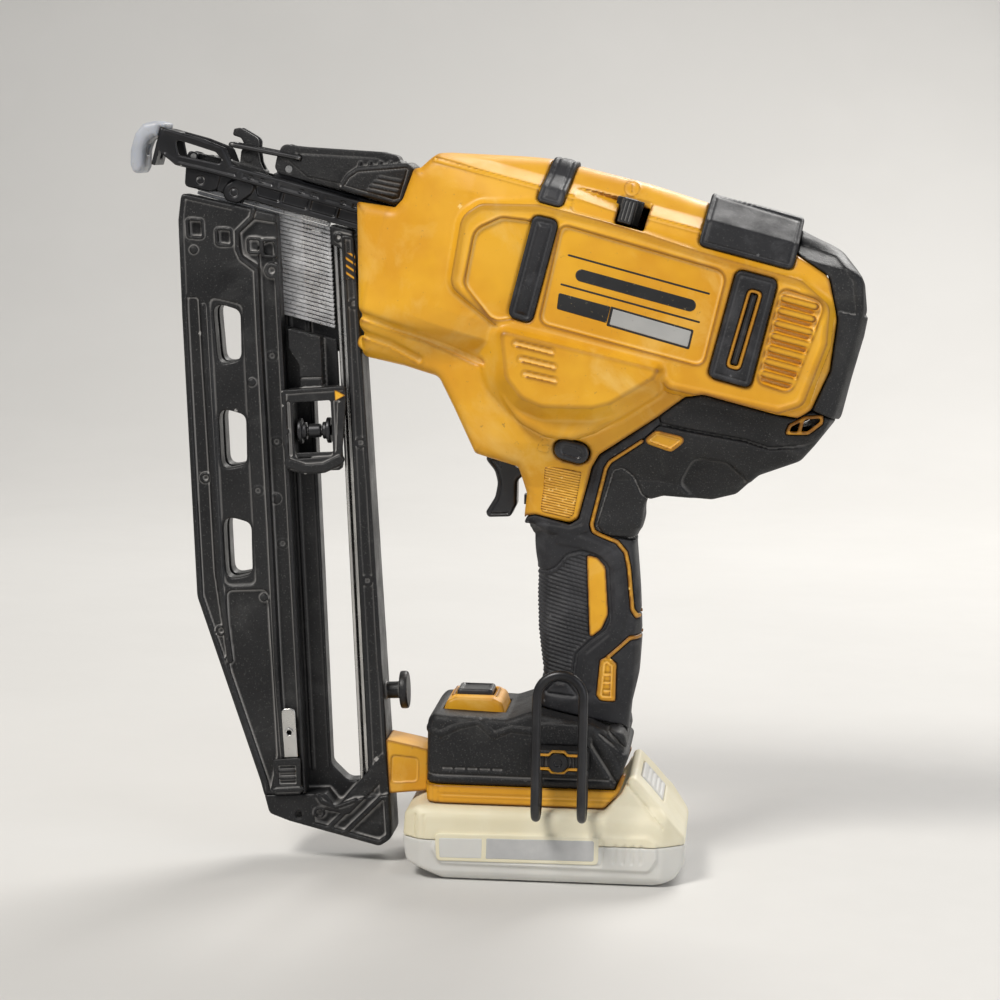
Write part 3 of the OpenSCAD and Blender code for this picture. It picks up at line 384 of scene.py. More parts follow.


# yellow plastic: painted shade in its hollows and a painted highlight on its edges, both from the pointiness
YELLOW = finish_look("yellow_plastic", rgb(0.68, 0.31, 0.008), rgb(0.80, 0.41, 0.018), rough=(0.36, 0.56),
                     patch=(26, 0.54, 0.78, rgb(0.82, 0.52, 0.13)),
                     specks=(420, 0.66, 0.76, rgb(0.42, 0.22, 0.04)),
                     hollow_shade=(0.455, 0.4965, 0.92, rgb(0.20, 0.07, 0.004)),
                     edge=(0.508, 0.57, 0.8, rgb(0.95, 0.68, 0.26)))
# black plastic: a painted highlight on its edges
BLACK = finish_look("black_plastic", rgb(0.007, 0.007, 0.008), rgb(0.015, 0.015, 0.016), rough=(0.46, 0.66),
                    specular=0.4, specks=(1500, 0.58, 0.74, rgb(0.09, 0.088, 0.085)),
                    patch=(30, 0.55, 0.78, rgb(0.045, 0.044, 0.042)),
                    edge=(0.509, 0.575, 0.8, rgb(0.30, 0.29, 0.28)), grain=(1500, 0.45, 0.0005))
# rubber: a painted highlight on its edges
RUBBER = finish_look("black_rubber", rgb(0.009, 0.009, 0.011), rgb(0.020, 0.020, 0.023), rough=(0.45, 0.7),
                     specular=0.4, specks=(1100, 0.60, 0.76, rgb(0.08, 0.078, 0.076)),
                     patch=(45, 0.50, 0.76, rgb(0.06, 0.06, 0.065)),
                     edge=(0.512, 0.62, 0.5, rgb(0.21, 0.21, 0.22)), grain=(2600, 0.3, 0.0002))
# magazine satin: a painted highlight on its edges
SATIN = finish_look("magazine_satin", rgb(0.006, 0.006, 0.007), rgb(0.014, 0.014, 0.015), rough=(0.34, 0.56),
                    specular=0.4, specks=(1400, 0.60, 0.74, rgb(0.10, 0.098, 0.095)),
                    patch=(35, 0.56, 0.80, rgb(0.05, 0.05, 0.05)),
                    edge=(0.507, 0.555, 0.9, rgb(0.36, 0.35, 0.34)), grain=(1900, 0.3, 0.0003))
# dark steel: a painted highlight on its edges
DARK_STEEL = finish_look("dark_steel", rgb(0.030, 0.030, 0.032), rgb(0.055, 0.055, 0.058), rough=(0.3, 0.5),
                         metal=0.85, edge=(0.53, 0.63, 0.8, rgb(0.45, 0.44, 0.43)), brushed=(1, 1, 8),
                         grain=(500, 0.12, 0.0001))
STEEL = finish_look("bright_steel", rgb(0.50, 0.49, 0.47), rgb(0.66, 0.65, 0.63), rough=(0.2, 0.38),
                    metal=1.0, specks=(300, 0.66, 0.78, rgb(0.30, 0.28, 0.26)), brushed=(1, 1, 12),
                    grain=(420, 0.1, 0.0001))
NAIL = finish_look("nail_steel", rgb(0.60, 0.60, 0.61), rgb(0.78, 0.78, 0.79), rough=(0.34, 0.56), metal=0.9,
                   mottle=160, specks=(900, 0.58, 0.70, rgb(0.22, 0.22, 0.22)), grain=(1400, 0.3, 0.0002))
SPRING = finish_look("spring_steel", rgb(0.30, 0.30, 0.31), rgb(0.45, 0.45, 0.46), rough=(0.22, 0.4),
                     metal=1.0, grain=(800, 0.1, 0.0001))
ALLOY = finish_look("cast_alloy", rgb(0.42, 0.42, 0.43), rgb(0.55, 0.55, 0.56), rough=(0.4, 0.6), metal=1.0,
                    grain=(1200, 0.35, 0.0002))
PALE = finish_look("pale_tip_rubber", rgb(0.34, 0.36, 0.40), rgb(0.46, 0.48, 0.52), rough=(0.35, 0.5),
                   subsurface=0.35, specks=(500, 0.66, 0.76, rgb(0.35, 0.34, 0.33)),
                   grain=(900, 0.15, 0.0002))
CREAM = finish_look("pack_cream", rgb(0.74, 0.67, 0.47), rgb(0.80, 0.74, 0.56), rough=(0.45, 0.6),
                    subsurface=0.1, patch=(22, 0.58, 0.8, rgb(0.86, 0.80, 0.60)), grain=(1800, 0.12, 0.0002))
GREY = finish_look("pack_grey", rgb(0.60, 0.59, 0.56), rgb(0.66, 0.65, 0.61), rough=(0.45, 0.6),
                   subsurface=0.1, patch=(22, 0.58, 0.8, rgb(0.74, 0.73, 0.68)), grain=(1800, 0.12, 0.0002))
PLATE = finish_look("pack_plate_grey", rgb(0.43, 0.43, 0.43), rgb(0.49, 0.49, 0.485), rough=(0.4, 0.55),
                    mottle=60, patch=(40, 0.58, 0.8, rgb(0.60, 0.59, 0.56)), grain=(1800, 0.1, 0.0001))
COPPER = finish_look("copper_windings", rgb(0.62, 0.24, 0.09), rgb(0.74, 0.33, 0.14), rough=(0.25, 0.4),
                     metal=1.0, brushed=(1, 14, 1), grain=(900, 0.5, 0.0003))
CELL = finish_look("cell_wrap", rgb(0.02, 0.22, 0.26), rgb(0.03, 0.28, 0.33), rough=(0.3, 0.45),
                   grain=(700, 0.1, 0.0001))
BOARD = finish_look("circuit_board", rgb(0.01, 0.13, 0.05), rgb(0.02, 0.18, 0.07), rough=(0.3, 0.5),
                    mottle=400, grain=(2500, 0.3, 0.0002))
BUTTON = finish_look("button_black", rgb(0.016, 0.016, 0.018), rgb(0.03, 0.03, 0.033), rough=(0.25, 0.42),
                     specks=(900, 0.68, 0.76, rgb(0.12, 0.12, 0.12)), grain=(2000, 0.15, 0.0002))
INK = finish_look("label_black", rgb(0.012, 0.012, 0.013), rgb(0.022, 0.022, 0.023), rough=(0.3, 0.5),
                  specks=(800, 0.66, 0.74, rgb(0.25, 0.2, 0.1)), grain=(2000, 0.1, 0.0001))
SILVER = finish_look("label_silver", rgb(0.36, 0.36, 0.35), rgb(0.46, 0.455, 0.44), rough=(0.35, 0.5),
                     specks=(700, 0.66, 0.76, rgb(0.25, 0.24, 0.22)), grain=(2000, 0.1, 0.0001))

# ---------------------------------------------------------------- shapes shared by the smaller pieces

def prism(g, pts, y0, y1, k=0.0):
    """An outline in (x, z) between two planes across y."""
    return smax(g.side_of(pts), g.slab(y0, y1), k)


def block(g, lo, hi, k=0.0):
    """A box from its lowest to its highest corner."""
    x = flat(np.maximum(lo[0] - g.X, g.X - hi[0]))
    z = flat(np.maximum(lo[2] - g.Z, g.Z - hi[2]))
    return smax(smax(x, z, k), g.slab(lo[1], hi[1]), k)


def xcyl(g, y, z, r):
    """Round bar along the first axis."""
    return (np.hypot(g.y - y, flat(g.Z - z)) - r).astype(np.float32)


def zcyl(g, x, y, r):
    """Upright round bar."""
    return (np.hypot(flat(g.X - x), g.y - y) - r).astype(np.float32)


def ridge(f, g, pts, face, rise, half, k=0.5, low=2.0):
    """Raises a rib of this half width on a flat face at y = face, towards -y."""
    rib = smax(smax(g.line(pts) - half, face - rise - g.y, k), g.y - (face + low))
    return smin(f, rib, k)


def sink(f, g, outline, face, depth, k=0.6):
    """Sinks a pocket into a flat face at y = face that looks towards -y."""
    return cut(f, smax(g.side_of(outline), g.y - (face + depth), 0.4), k)


def mirror(g):
    """Makes a grid symmetric about y = 0, and keeps the true y as raw."""
    g.raw = g.y
    g.y = np.abs(g.y)
    return g


def tube(name, points, r, body, mat, nodes=(), n=14, rounds=3):
    """A bent wire through these points, with round ends."""
    p = np.array(points, float)
    for _ in range(rounds):
        q = [p[0]]
        for a, b in zip(p[:-1], p[1:]):
            q += [0.75 * a + 0.25 * b, 0.25 * a + 0.75 * b]
        p = np.array(q + [p[-1]])
    keep = [0]
    for i in range(1, len(p)):
        if np.linalg.norm(p[i] - p[keep[-1]]) > 0.25:
            keep.append(i)
    p = p[keep]
    t = np.gradient(p, axis=0)
    t /= np.linalg.norm(t, axis=1)[:, None]
    up = np.cross(t[0], [0.3, 0.9, 0.2])
    rings, centres, radii = [], [], []
    for a in np.linspace(math.pi / 2, 0, 5)[1:-1]:
        centres.append((p[0] - t[0] * r * math.sin(a), t[0]))
        radii.append(r * math.cos(a))
    for a, b in zip(p, t):
        centres.append((a, b))
        radii.append(r)
    for a in np.linspace(0, math.pi / 2, 5)[1:-1]:
        centres.append((p[-1] + t[-1] * r * math.sin(a), t[-1]))
        radii.append(r * math.cos(a))
    for (c, d), rad in zip(centres, radii):
        up = up - d * (up @ d)
        up /= np.linalg.norm(up)
        side = np.cross(d, up)
        for k in range(n):
            a = 2 * math.pi * k / n
            rings.append(c + rad * (math.cos(a) * up + math.sin(a) * side))
    m = len(centres)
    quads = [(i * n + k, i * n + (k + 1) % n, (i + 1) * n + (k + 1) % n, (i + 1) * n + k)
             for i in range(m - 1) for k in range(n)]
    rings += [p[0] - t[0] * r, p[-1] + t[-1] * r]
    tris = [(m * n, (k + 1) % n, k) for k in range(n)]
    tris += [(m * n + 1, (m - 1) * n + k, (m - 1) * n + (k + 1) % n) for k in range(n)]
    ob = mesh_object(name, np.array(rings), np.array(tris), np.array(quads))
    return finish(ob, body, mat, nodes)


# ---------------------------------------------------------------- outlines, as in the solid model

# walls of the moulded shells
WALL = 2.6
# grid step of the yellow case
CASE_STEP = 0.6
BODY_SIDE = [(-77, 279, 1), (-60.5, 276.8, 2), (-57, 280.5, 2), (-52.5, 293, 2), (-49.5, 293.6, 1),
             (-43, 299.6, 4), (2, 298.2, 8), (43, 289, 8), (64, 282, 4), (106, 270.5, 4), (124, 260.5, 8),
             (131.5, 251, 8), (133, 239, 4), (131.5, 229, 4), (122.8, 196.5, 4), (107.5, 177, 6),
             (91, 170.5, 5), (82, 162, 5), (72, 159.4, 6), (52, 160.6, 3), (45, 158.5, 3), (42.5, 147, 0),
             (-6, 147, 0), (-4.5, 160, 3), (-8, 171.5, 2), (-25.8, 176.8, 2), (-35, 195, 6), (-42, 208, 5),
             (-56, 212, 3), (-74, 215.5, 3)]
BARREL_SECTION = [(11, 41.5, 5), (20, 33.5, 3), (31, 28.5, 3), (36, 20, 4), (36, -30, 4), (33, -37, 3),
                  (24, -44, 4), (10, -66, 3)]
BARREL_PLAN = [(-84, 17, 2), (-66, 26, 8), (-34, 34, 12), (-20, 36, 5), (108, 36, 8), (130, 31, 6),
               (137, 20, 4)]
BELLY_SECTION = [(32, 240, 2), (32, 205, 6), (27, 182, 8), (19, 163, 4), (16, 146, 0)]
BELLY_PLAN = [(-76, 12, 2), (-58, 15, 4), (-30, 24, 10), (0, 32, 12), (96, 32, 10), (126, 20, 6)]
GRIP_SIDE = [(-16, 145, 1), (-9, 150, 2), (42.5, 150, 0), (41, 139, 6), (43.2, 119, 9), (44.8, 99, 9),
             (43.5, 84, 9), (40.4, 71, 6), (39.5, 60, 0), (-3, 60, 0), (1.5, 75, 5), (3.2, 84, 8),
             (0, 103, 9), (-1, 118, 9), (-0.6, 130, 5), (-4, 138.5, 5), (-10, 143, 3)]
GRIP_PLAN = [(-1.2, 9, 0), (5, 15.5, 6), (13, 17.5, 8), (32, 17.5, 8), (41, 13.5, 6), (45.2, 7, 3)]
PANEL_SIDE = [(-36.5, 246, 8), (-32, 275, 10), (-24, 280.5, 8), (0, 280.5, 10), (32, 273.2, 8), (65, 263, 8),
              (106, 252.4, 8), (118.2, 242, 7), (117.5, 226, 6), (108.5, 200.5, 7), (98, 197, 6),
              (53, 206, 5), (46, 214, 4), (-17, 230, 8)]
POCKET = [(-29.5, 247, 6), (-25.5, 269, 7), (-15, 274, 6), (0, 272.5, 5), (-9, 234, 4), (-18, 233, 6)]
LABEL = [(9.5, 271.5, 3), (75.5, 254, 5), (67, 216.5, 4), (1.2, 232.5, 4)]
RIB_ZONE = [(98.2, 248, 3), (115.6, 243, 5), (102.5, 206.5, 4), (89.6, 210.5, 3)]
STRIP = [(-2.2, 275.6, 3), (8.2, 273.4, 3.5), (-2.3, 231.6, 3.5), (-12.2, 234.6, 3.5)]
FRAME = [(80, 255.5, 3), (96.5, 251.5, 3), (86.4, 207.8, 3), (69.3, 212.2, 3)]
FRAME_SLOT = [(84.9, 247.8, 2), (90.3, 246.4, 2), (82.0, 215.0, 2), (76.6, 216.4, 2)]
CAP_SIDE = [(103, 262, 2), (108, 285, 2), (145, 285, 2), (145, 185, 2), (119, 190, 2), (111.5, 199, 0),
            (118.5, 215, 6), (120.8, 236, 6), (117, 253, 6)]
# the line where the yellow shell ends, from the trigger round under the panel to the cap
YELLOW_END = [(-14.5, 144.5), (-7.4, 145.6), (-4.4, 150.6), (-0.8, 151.4), (13.6, 147.9), (17.2, 150.2),
              (22.6, 172.4), (25.8, 178.0), (49, 194), (60.5, 203), (67.6, 204.6), (97.5, 197), (106, 195.5),
              (111.5, 199)]
DARK_SIDE = [p + (1.5,) for p in YELLOW_END[:-1]] + [(111.5, 199), (124, 193.6), (150, 182), (150, 40),
                                                     (-60, 40), (-60, 144)]


def dark_side(g):
    """Outline of everything black: the rear cover and the grip."""
    return g.side_of(DARK_SIDE, 4)


def body_form(g):
    """The whole shell above the grip."""
    side = g.side_of(BODY_SIDE)
    barrel = smax(smax(side, g.section(BARREL_SECTION, g.w), 4), g.plan(BARREL_PLAN, g.u), 5)
    belly = smax(smax(side, g.section(BELLY_SECTION, g.Z), 4), g.plan(BELLY_PLAN, g.X), 5)
    return smin(barrel, belly, 2.2)


def grip_form(g):
    """The grip's own column, before it runs into the shell."""
    return smax(g.side_of(GRIP_SIDE), g.plan(GRIP_PLAN, g.X), 4)


# the motor bulge: its flat face, and the rounder step that it stands on
FACE = [(-14.2, 228.6, 2), (49.6, 214.6, 1), (47.4, 211.0, 2), (30.5, 200.6, 4), (23.0, 198.6, 5),
        (3.0, 198.6, 7), (-5.5, 202.0, 7), (-12.0, 210.0, 8)]
STEP = [(-17.2, 229.5, 1), (51.0, 214.2, 1), (50.2, 203.6, 3), (24.0, 187.2, 6), (13.6, 183.6, 8),
        (3.6, 185.2, 9), (-7.2, 190.6, 10), (-14.2, 200.6, 10), (-17.4, 213, 8)]


def bulge_form(g, half):
    """Motor bulge: a flat face with sloped sides on a rounder, lower step."""
    y = g.y
    face = (g.side_of(FACE, 8) - 0.74 * np.maximum(half - y, 0)) * 0.82
    f = smax(face, y - half, 0.9)
    step = smax(g.side_of(STEP, 8), y - (half - 8.0), 3.4)
    f = smin(f, step, 1.0)
    return smax(f, 20 - y, 0)


def relief(f, g, outline, level, depth, k):
    """Sinks a flat pocket of this outline below a level in y."""
    return cut(f, smax(g.side_of(outline), level - depth - g.y, 0.8), k)


# centres of the two ends of the lock-off button's hole
LOCK_OFF_ENDS = [(11.6, 180.05), (17.2, 178.5)]


def button_hole(f, g):
    """Cuts the lock-off button's hole through the neck."""
    ends = [g.ycyl(x, z, 4.7) for x, z in LOCK_OFF_ENDS]
    return cut(f, smax(smin(*ends, 3.5), 12 - g.y), 0.8)


# case screws as (x, z, height of the seat); the last two are in the grip
SCREWS = [(-62, 224, 12), (-43.2, 290.4, 16), (-22, 205, 16), (60.6, 268.7, 16), (101.3, 254.4, 16),
          (62, 210, 16), (28, 143, 8), (33, 86, 8)]
RIBS = [((98.9, 244.3), (111.6, 241.2)), ((97.8, 239.3), (110.6, 236.2)), ((96.6, 234.2), (109.8, 231.0)),
        ((95.4, 229.1), (108.8, 225.9)), ((94.2, 224.0), (107.4, 220.8)), ((93.0, 218.9), (105.6, 215.8)),
        ((91.8, 213.8), (103.0, 211.1))]


def housing_half(s):
    """A half of the yellow case: the left (s = -1) has the deeper bulge, the right (s = 1) the screws."""
    g = Grid((-79, -1.2, 140), (126, 43.2 if s < 0 else 40.2, 302), CASE_STEP, side=s)
    y = g.y
    base = body_form(g)
    half = 42 if s < 0 else 38.6
    panel = g.side_of(PANEL_SIDE, 8)
    strap_room = smax(g.side_of(STRAP) - 0.2, -(base + 1.0))
    bumper_room = smax(g.side_of(REAR_BLOCK) - 0.2, -(base + 1.0))
    # hollow body, with the panel, bulge and lip standing on it
    shell = smax(base, -(base + WALL))
    bulge = bulge_form(g, half)
    shell = cut(shell, smax(bulge + 5.0, 31 - y))
    f = smin(shell, smax(smax(panel + 0.55 * (y - 36), y - 37.6, 1.4), 33.5 - y), 1.2)
    border = smax(within(panel + 2.0, 1.3), y - 38.15, 1.0)
    f = smin(f, smax(border, 34 - y), 0.9)
    for outline, depth in ((POCKET, 1.4), (LABEL, 1.2), (RIB_ZONE, 1.5)):
        f = relief(f, g, outline, 37.6, depth, 1.0)
        lip = smax(within(g.side_of(outline) - 0.9, 0.55), y - 38.0, 0.7)
        f = smin(f, smax(smax(lip, 35 - y), panel + 2.5), 0.7)
    for a, b in RIBS:
        f = smin(f, smax(smax(g.line([a, b]) - 1.5, y - 37.9, 0.8), 34 - y), 0.5)
        low = (np.array(a) + (-0.3, -2.5), np.array(b) + (-1.3, -2.5))
        f = cut(f, smax(g.line(low) - 0.62, 34.4 - y, 0.4), 0.5)
    f = cut(f, smax(g.side_of(STRIP) - 0.25, 35.6 - y), 0.5)
    f = cut(f, smax(g.side_of(FRAME) - 0.25, 35.2 - y), 0.5)
    f = smin(f, smax(bulge, -(bulge + WALL)), 1.0)
    for a, b in (((-8.2, 224.0), (6.4, 220.8)), ((-6.0, 217.8), (7.2, 215.0)), ((-4.2, 211.8), (7.8, 209.4))):
        f = cut(f, smax(g.line([a, b]) - 0.8, half - 0.8 - y), 0.5)
        crest = g.line([np.array(a) + (1.2, -1.7), np.array(b) + (0.6, -1.7)])
        f = smin(f, smax(smax(crest - 0.7, y - half - 0.25, 0.5), half - 2 - y), 0.5)
    f = smin(f, smax(smax(g.side_of([(-76.5, 219, 2), (-54, 212.2, 2), (-50.8, 214.6, 1), (-52.5, 217.2, 1),
                                     (-75.5, 224.5, 2)]), y - 14.6, 1.2), 11.6 - y), 1.2)
    # creases along the underside of the barrel and above the chin
    for pts in ([(-80, 234.8), (-46, 223.8), (-23, 214.6)], [(-80, 227.2), (-62, 221.2), (-50, 214.8)]):
        f = cut(f, smax(g.line(pts) - 0.8, -(base + 1.0), 0.6), 2.4)
    # shoulder groove above the panel and the soft crease in front of it
    crease = flat(np.maximum(within(g.w - 28.2, 0.45), g.u - 62))
    f = cut(f, smax(smax(crease, -(base + 0.5)), flat(-52 - g.u)), 0.7)
    # openings: mouth for the nose, trigger slot, stall lever window, lock-off button
    mouth = flat(np.maximum(np.maximum(g.w - 13.4, -31 - g.w), np.maximum(g.u + 57.5, -100 - g.u)))
    f = cut(f, smax(mouth, y - 11.2), 0.6)
    f = cut(f, smax(g.side_of([(-40, 146, 0), (-40, 177, 0), (13, 177, 2), (13, 147, 2)]), y - 7.0), 0.6)
    if s < 0:
        dish = g.side_of([(14.6, 286.4, 1), (33, 282.2, 1), (30.6, 272.6, 1), (12.6, 277.4, 2)])
        deep = flat(1.9 * np.clip((g.X - 12) / 19, 0, 1))
        tray = smax(dish, -(base + 0.15 + deep), 0.3)
        f = cut(smin(f, smax(smax(dish - 2.2, -(base + 4.4)), base + 1.0)), tray, 0.5)
        window = flat(np.maximum(within(g.u - 31.5, 6.2), within(g.w - 28.2, 5.8)))
        f = cut(f, smax(window, 19.5 - y), 0.5)
        disc = np.abs(g.ycyl(36.2, 286.6, 3.1))
        f = smin(f, smax(smax(disc - 0.38, base - 0.3, 0.3), -(base + 0.6)), 0.3)
        f = smin(f, smax(smax(g.line([(36.2, 285.2), (36.2, 288.0)]) - 0.4, base - 0.3, 0.3), -(base + 0.6)),
                 0.3)
        lock = smin(within(g.side_of([(1.0, 182.6, 0.8), (5.2, 181.7, 0.8), (4.6, 178.2, 0.8),
                                      (0.2, 179.2, 0.8)]), 0.35),
                    within(flat(np.hypot(g.X - 3.3, g.Z - 182.6)) - 1.5, 0.35))
        f = smin(f, smax(smax(lock, base - 0.25, 0.3), -(base + 0.6)), 0.3)
    else:
        for x, z, h in SCREWS[:6]:
            f = smin(f, smax(smax(g.ycyl(x, z, 4.8), base + 1.0), h - 4 - y))
            f = smin(f, smax(smax(within(g.ycyl(x, z, 4.0), 0.7), base - 0.4, 0.4), -(base + 2)), 0.5)
            f = cut(f, smax(g.ycyl(x, z, 3.3), h - y), 0.5)
    f = button_hole(f, g)
    # room for the neighbours
    f = cut(f, g.side_of(CAP_SIDE) - 0.2, 0.8)
    f = cut(f, dark_side(g) - 0.2, 0.8)
    f = cut(f, strap_room, 0.5)
    f = cut(f, bumper_room, 0.5)
    f = smax(f, 0.08 - y, 0.5)
    name, node = ("left_shell", "left_housing") if s < 0 else ("right_shell", "right_housing")
    return skin(name, g, f, "tool", YELLOW, (node,))


# the rubber strap and bumper on the top edge
STRAP = [(5.4, 303, 2), (15.6, 303, 2), (8.8, 278.4, 2.2), (-1.6, 280.9, 2.2)]
REAR_BLOCK = [(64.0, 264.5, 2.5), (69.2, 286.5, 2), (107, 276, 2), (102.2, 255.2, 3)]
for side in (-1, 1):
    housing_half(side)


def rear_cap():
    """Black cap on the back, with its vent rows."""
    g = mirror(Grid((99, -37.5, 184), (134, 37.5, 276), 0.6))
    base = body_form(g)
    f = base
    step = flat(239.5 - 0.2 * (g.X - 120) - g.Z)
    f = smin(f, smax(base - 0.9, -step, 0.8), 0.5)
    f = cut(f, smax(within(step, 0.35), -(base + 0.3)), 0.6)
    crest = g.line([(106.5, 267.2), (120.6, 262.2), (128.6, 252.5), (130.0, 240), (128.8, 230), (119.6, 197)])
    f = smin(f, smax(crest - 1.6, base - 0.7, 0.8), 0.8)
    f = smax(f, -(base + WALL))
    f = smax(f, g.side_of(CAP_SIDE) + 0.2, 0.9)
    for k in range(-2, 3):
        row = flat(np.maximum(within(g.w - (9 * k - 3.2), 1.75), 119 - g.u))
        f = cut(f, smax(row, g.y - 14), 0.5)
    f = cut(f, smax(g.side_of(REAR_BLOCK) - 0.2, -(base + 1.0)), 0.5)
    f = smax(f, -dark_side(g) + 0.2, 0.8)
    return skin("rear_cap_shell", g, f, "tool", BLACK, ("rear_cap",))


# yellow lines and plates let into the black skin, the raised grip panel, and the line where rubber begins
PIPING = [(43.0, 184.2), (29.9, 174.9), (28.2, 172.0), (22.7, 148.2), (23.6, 145.2), (26.0, 143.9),
          (33.4, 141.0), (37.0, 136.4), (38.4, 130.0), (40.2, 112.4), (41.9, 109.4), (46.5, 109.0)]
LOW_PIPING = [(46.5, 100.6), (39.6, 100.6), (30.6, 92.6)]
DIAMOND = [(44.2, 184.2), (48.9, 188.2), (60.8, 185.5), (54.9, 180.6)]
TAG = [(27.3, 91.4, 1.5), (30.6, 93.2, 2), (34.3, 90.0, 1), (34.2, 73.8, 1), (27.6, 74.2, 1.5),
       (26.1, 76.4, 1)]
GRIP_PANEL = [(-6, 128.4, 1), (4.3, 127.4, 4), (8.4, 129.6, 3), (13.0, 135.2, 4), (18.1, 136.6, 3),
              (24.4, 135.6, 5), (29.8, 131.0, 5), (31.4, 108.3, 4), (29.7, 104.1, 3), (23.0, 99.1, 3),
              (17.6, 93.7, 3), (16.5, 84, 1), (-6, 84, 1)]
INSERT = [(20.9, 135.4, 1.2), (25.6, 134.2, 3), (28.9, 130.4, 4), (30.4, 110.6, 4), (27.8, 104.4, 3),
          (22.8, 100.2, 1.2)]
SPLIT = [(50.5, 191.5), (43.4, 185.0), (29.3, 175.4), (27.4, 172.2), (21.8, 147.6), (22.8, 144.6),
         (50, 139.5)]


def neck_form(g):
    """Shell and grip run into one another."""
    return smin(body_form(g), grip_form(g), 6)


def split_side(g):
    """Outline of the rubber in front of the piping and of the whole lower grip."""
    return g.side_of([(49.4, 200, 0), (50.5, 191.5, 0)] + [p + (2,) for p in SPLIT[1:6]]
                     + [(50, 139.5, 0), (60, 139, 0), (60, 50, 0), (-60, 50, 0), (-60, 200, 0)])


def below_fold(g):
    drop = np.interp(g.X, [50, 62, 85, 95, 112, 125], [191, 188.8, 185.2, 182.2, 183.6, 190]) - g.Z
    return flat(np.clip(drop, 0, 24))


def cover_form(g):
    """Neck form, drawn in below the fold line of the rear cover."""
    return smax(neck_form(g), (g.y - 30.4 + 0.50 * below_fold(g)) * 0.88, 2.0)


def undercover():
    """Black cover under the motor, down to the heel of the hand."""
    g = mirror(Grid((20, -34, 136), (128, 34, 206), 0.6))
    base = cover_form(g)
    fold = g.line([(50.6, 191.4), (62.5, 189), (85, 185.5), (95.2, 182.4), (112, 184)])
    f = cut(base, smax(fold - 0.5, 25 - g.y), 1.6)
    scoop = g.side_of([(64, 178, 6), (78, 176, 6), (87.5, 167, 5), (84, 160, 3), (66, 158.6, 4),
                       (58, 166, 5)])
    f = cut(f, smax(smax(scoop, -(base + 1.8), 1.2), 15 - g.y, 3), 1.8)
    pad = g.side_of([(31.4, 171.0, 3), (35.2, 172.2, 3), (39.6, 168.6, 4), (42.9, 161.4, 3), (47, 158, 1),
                     (46, 142, 1), (28, 143.5, 3), (24.6, 147.6, 2)])
    f = cut(f, smax(within(pad, 0.35), -(base + 1.0)), 0.7)
    crest = g.line([(66, 203.0), (86, 198.6), (104, 194.6), (112, 196.4)])
    f = smin(f, smax(crest - 1.0, base - 0.35, 0.8), 1.4)
    f = smax(f, -(f + WALL))
    f = cut(f, smax(g.line(PIPING) - 1.0, -(base + 1.1)), 0.5)
    f = cut(f, smax(g.side_of([p + (1.5,) for p in DIAMOND]) - 0.2, -(base + 1.4)), 0.5)
    f = cut(f, smax(g.side_of(VENT) - 0.1, 20 - g.y), 0.4)
    f = smax(f, dark_side(g) + 0.2, 0.9)
    f = smax(f, -split_side(g) + 0.15, 0.6)
    # flange behind the seams, so that no light shows through them
    seams = smin(np.abs(dark_side(g)), smax(np.abs(split_side(g)), dark_side(g)))
    seams = smin(seams, smax(np.abs(g.side_of(CAP_SIDE)), flat(g.Z - 205)))
    f = smin(f, smax(smax(base + 2.7, -(base + 3.8)), seams - 3.0))
    f = cut(f, smax(smax(g.side_of(GRIP_SIDE) + 2.0, flat(151 - g.Z)), g.y - 14))
    return skin("undercover_shell", g, f, "tool", BLACK, ("rear_undercover",))


VENT = [(100.9, 188.4, 1), (102.4, 192.9, 1.5), (108.6, 196.4, 2), (116.2, 197.2, 1), (116.4, 193.6, 1),
        (110.6, 188.8, 2)]


def sleeve():
    """Rubber of the grip."""
    g = mirror(Grid((-18, -30, 58), (52, 30, 196), 0.45))
    base = cover_form(g)
    f = base
    panel = g.side_of(GRIP_PANEL)
    f = cut(f, smax(within(panel, 0.5), -(base + 0.8)), 0.6)
    pitch = 1.72
    along = (g.Z + 0.25 * g.X).astype(np.float32)
    wave = flat(0.5 - 0.5 * np.cos(along * (2 * math.pi / pitch)))
    ribs = np.clip(-(panel + 0.9), 0, 1)
    f = f + ribs * (0.25 + 0.55 * (1 - wave))
    band = g.line([(-6, 143.5), (2, 146.0), (14, 144.4), (20.5, 146.6), (25.5, 168.0), (27.5, 175.8),
                   (46, 188.6)])
    f = smin(f, smax(band - 1.6, base - 0.5, 0.8), 1.0)
    swirl = g.line([(10.5, 141.4), (20, 140.2), (29.5, 136.4), (34.2, 130.0), (35.8, 110), (33.2, 101.0),
                    (23.4, 92.4), (21.8, 80)])
    f = smin(f, smax(swirl - 1.9, base - 0.45, 0.8), 1.4)
    f = cut(f, smax(g.line(PIPING) - 0.95, -(base + 1.1)), 0.5)
    f = cut(f, smax(g.line(LOW_PIPING) - 0.95, -(base + 1.1)), 0.5)
    f = cut(f, smax(g.side_of(TAG) - 0.15, -(base + 1.1)), 0.4)
    f = cut(f, smax(g.side_of(INSERT) - 0.15, -(base + 1.1)), 0.4)
    loop = g.side_of([(4.5, 76.4, 1), (9.2, 81.6, 3), (13.6, 81.0, 3), (18.4, 75.4, 1)])
    f = cut(f, smax(within(loop, 0.5), -(base + 0.7)), 0.6)
    f = smax(f, -(base + 2.0))
    f = smax(f, dark_side(g) + 0.2, 0.9)
    f = smax(f, split_side(g) + 0.15, 0.6)
    foot = g.side_of(FOOT_SIDE)
    f = smax(f, -foot + 0.15, 0.5)
    f = cut(f, smax(g.side_of([(-40, 144, 0), (-40, 177, 0), (12, 177, 2), (12, 147.2, 2), (-8, 144, 2)]),
                    g.y - 7.2), 0.5)
    f = button_hole(f, g)
    for x, z, h in SCREWS[6:]:
        f = cut(f, smax(g.ycyl(x, z, 3.3), h - g.raw), 0.5)
    return skin("grip_rubber", g, f, "tool", RUBBER, ("grip_sleeve",))


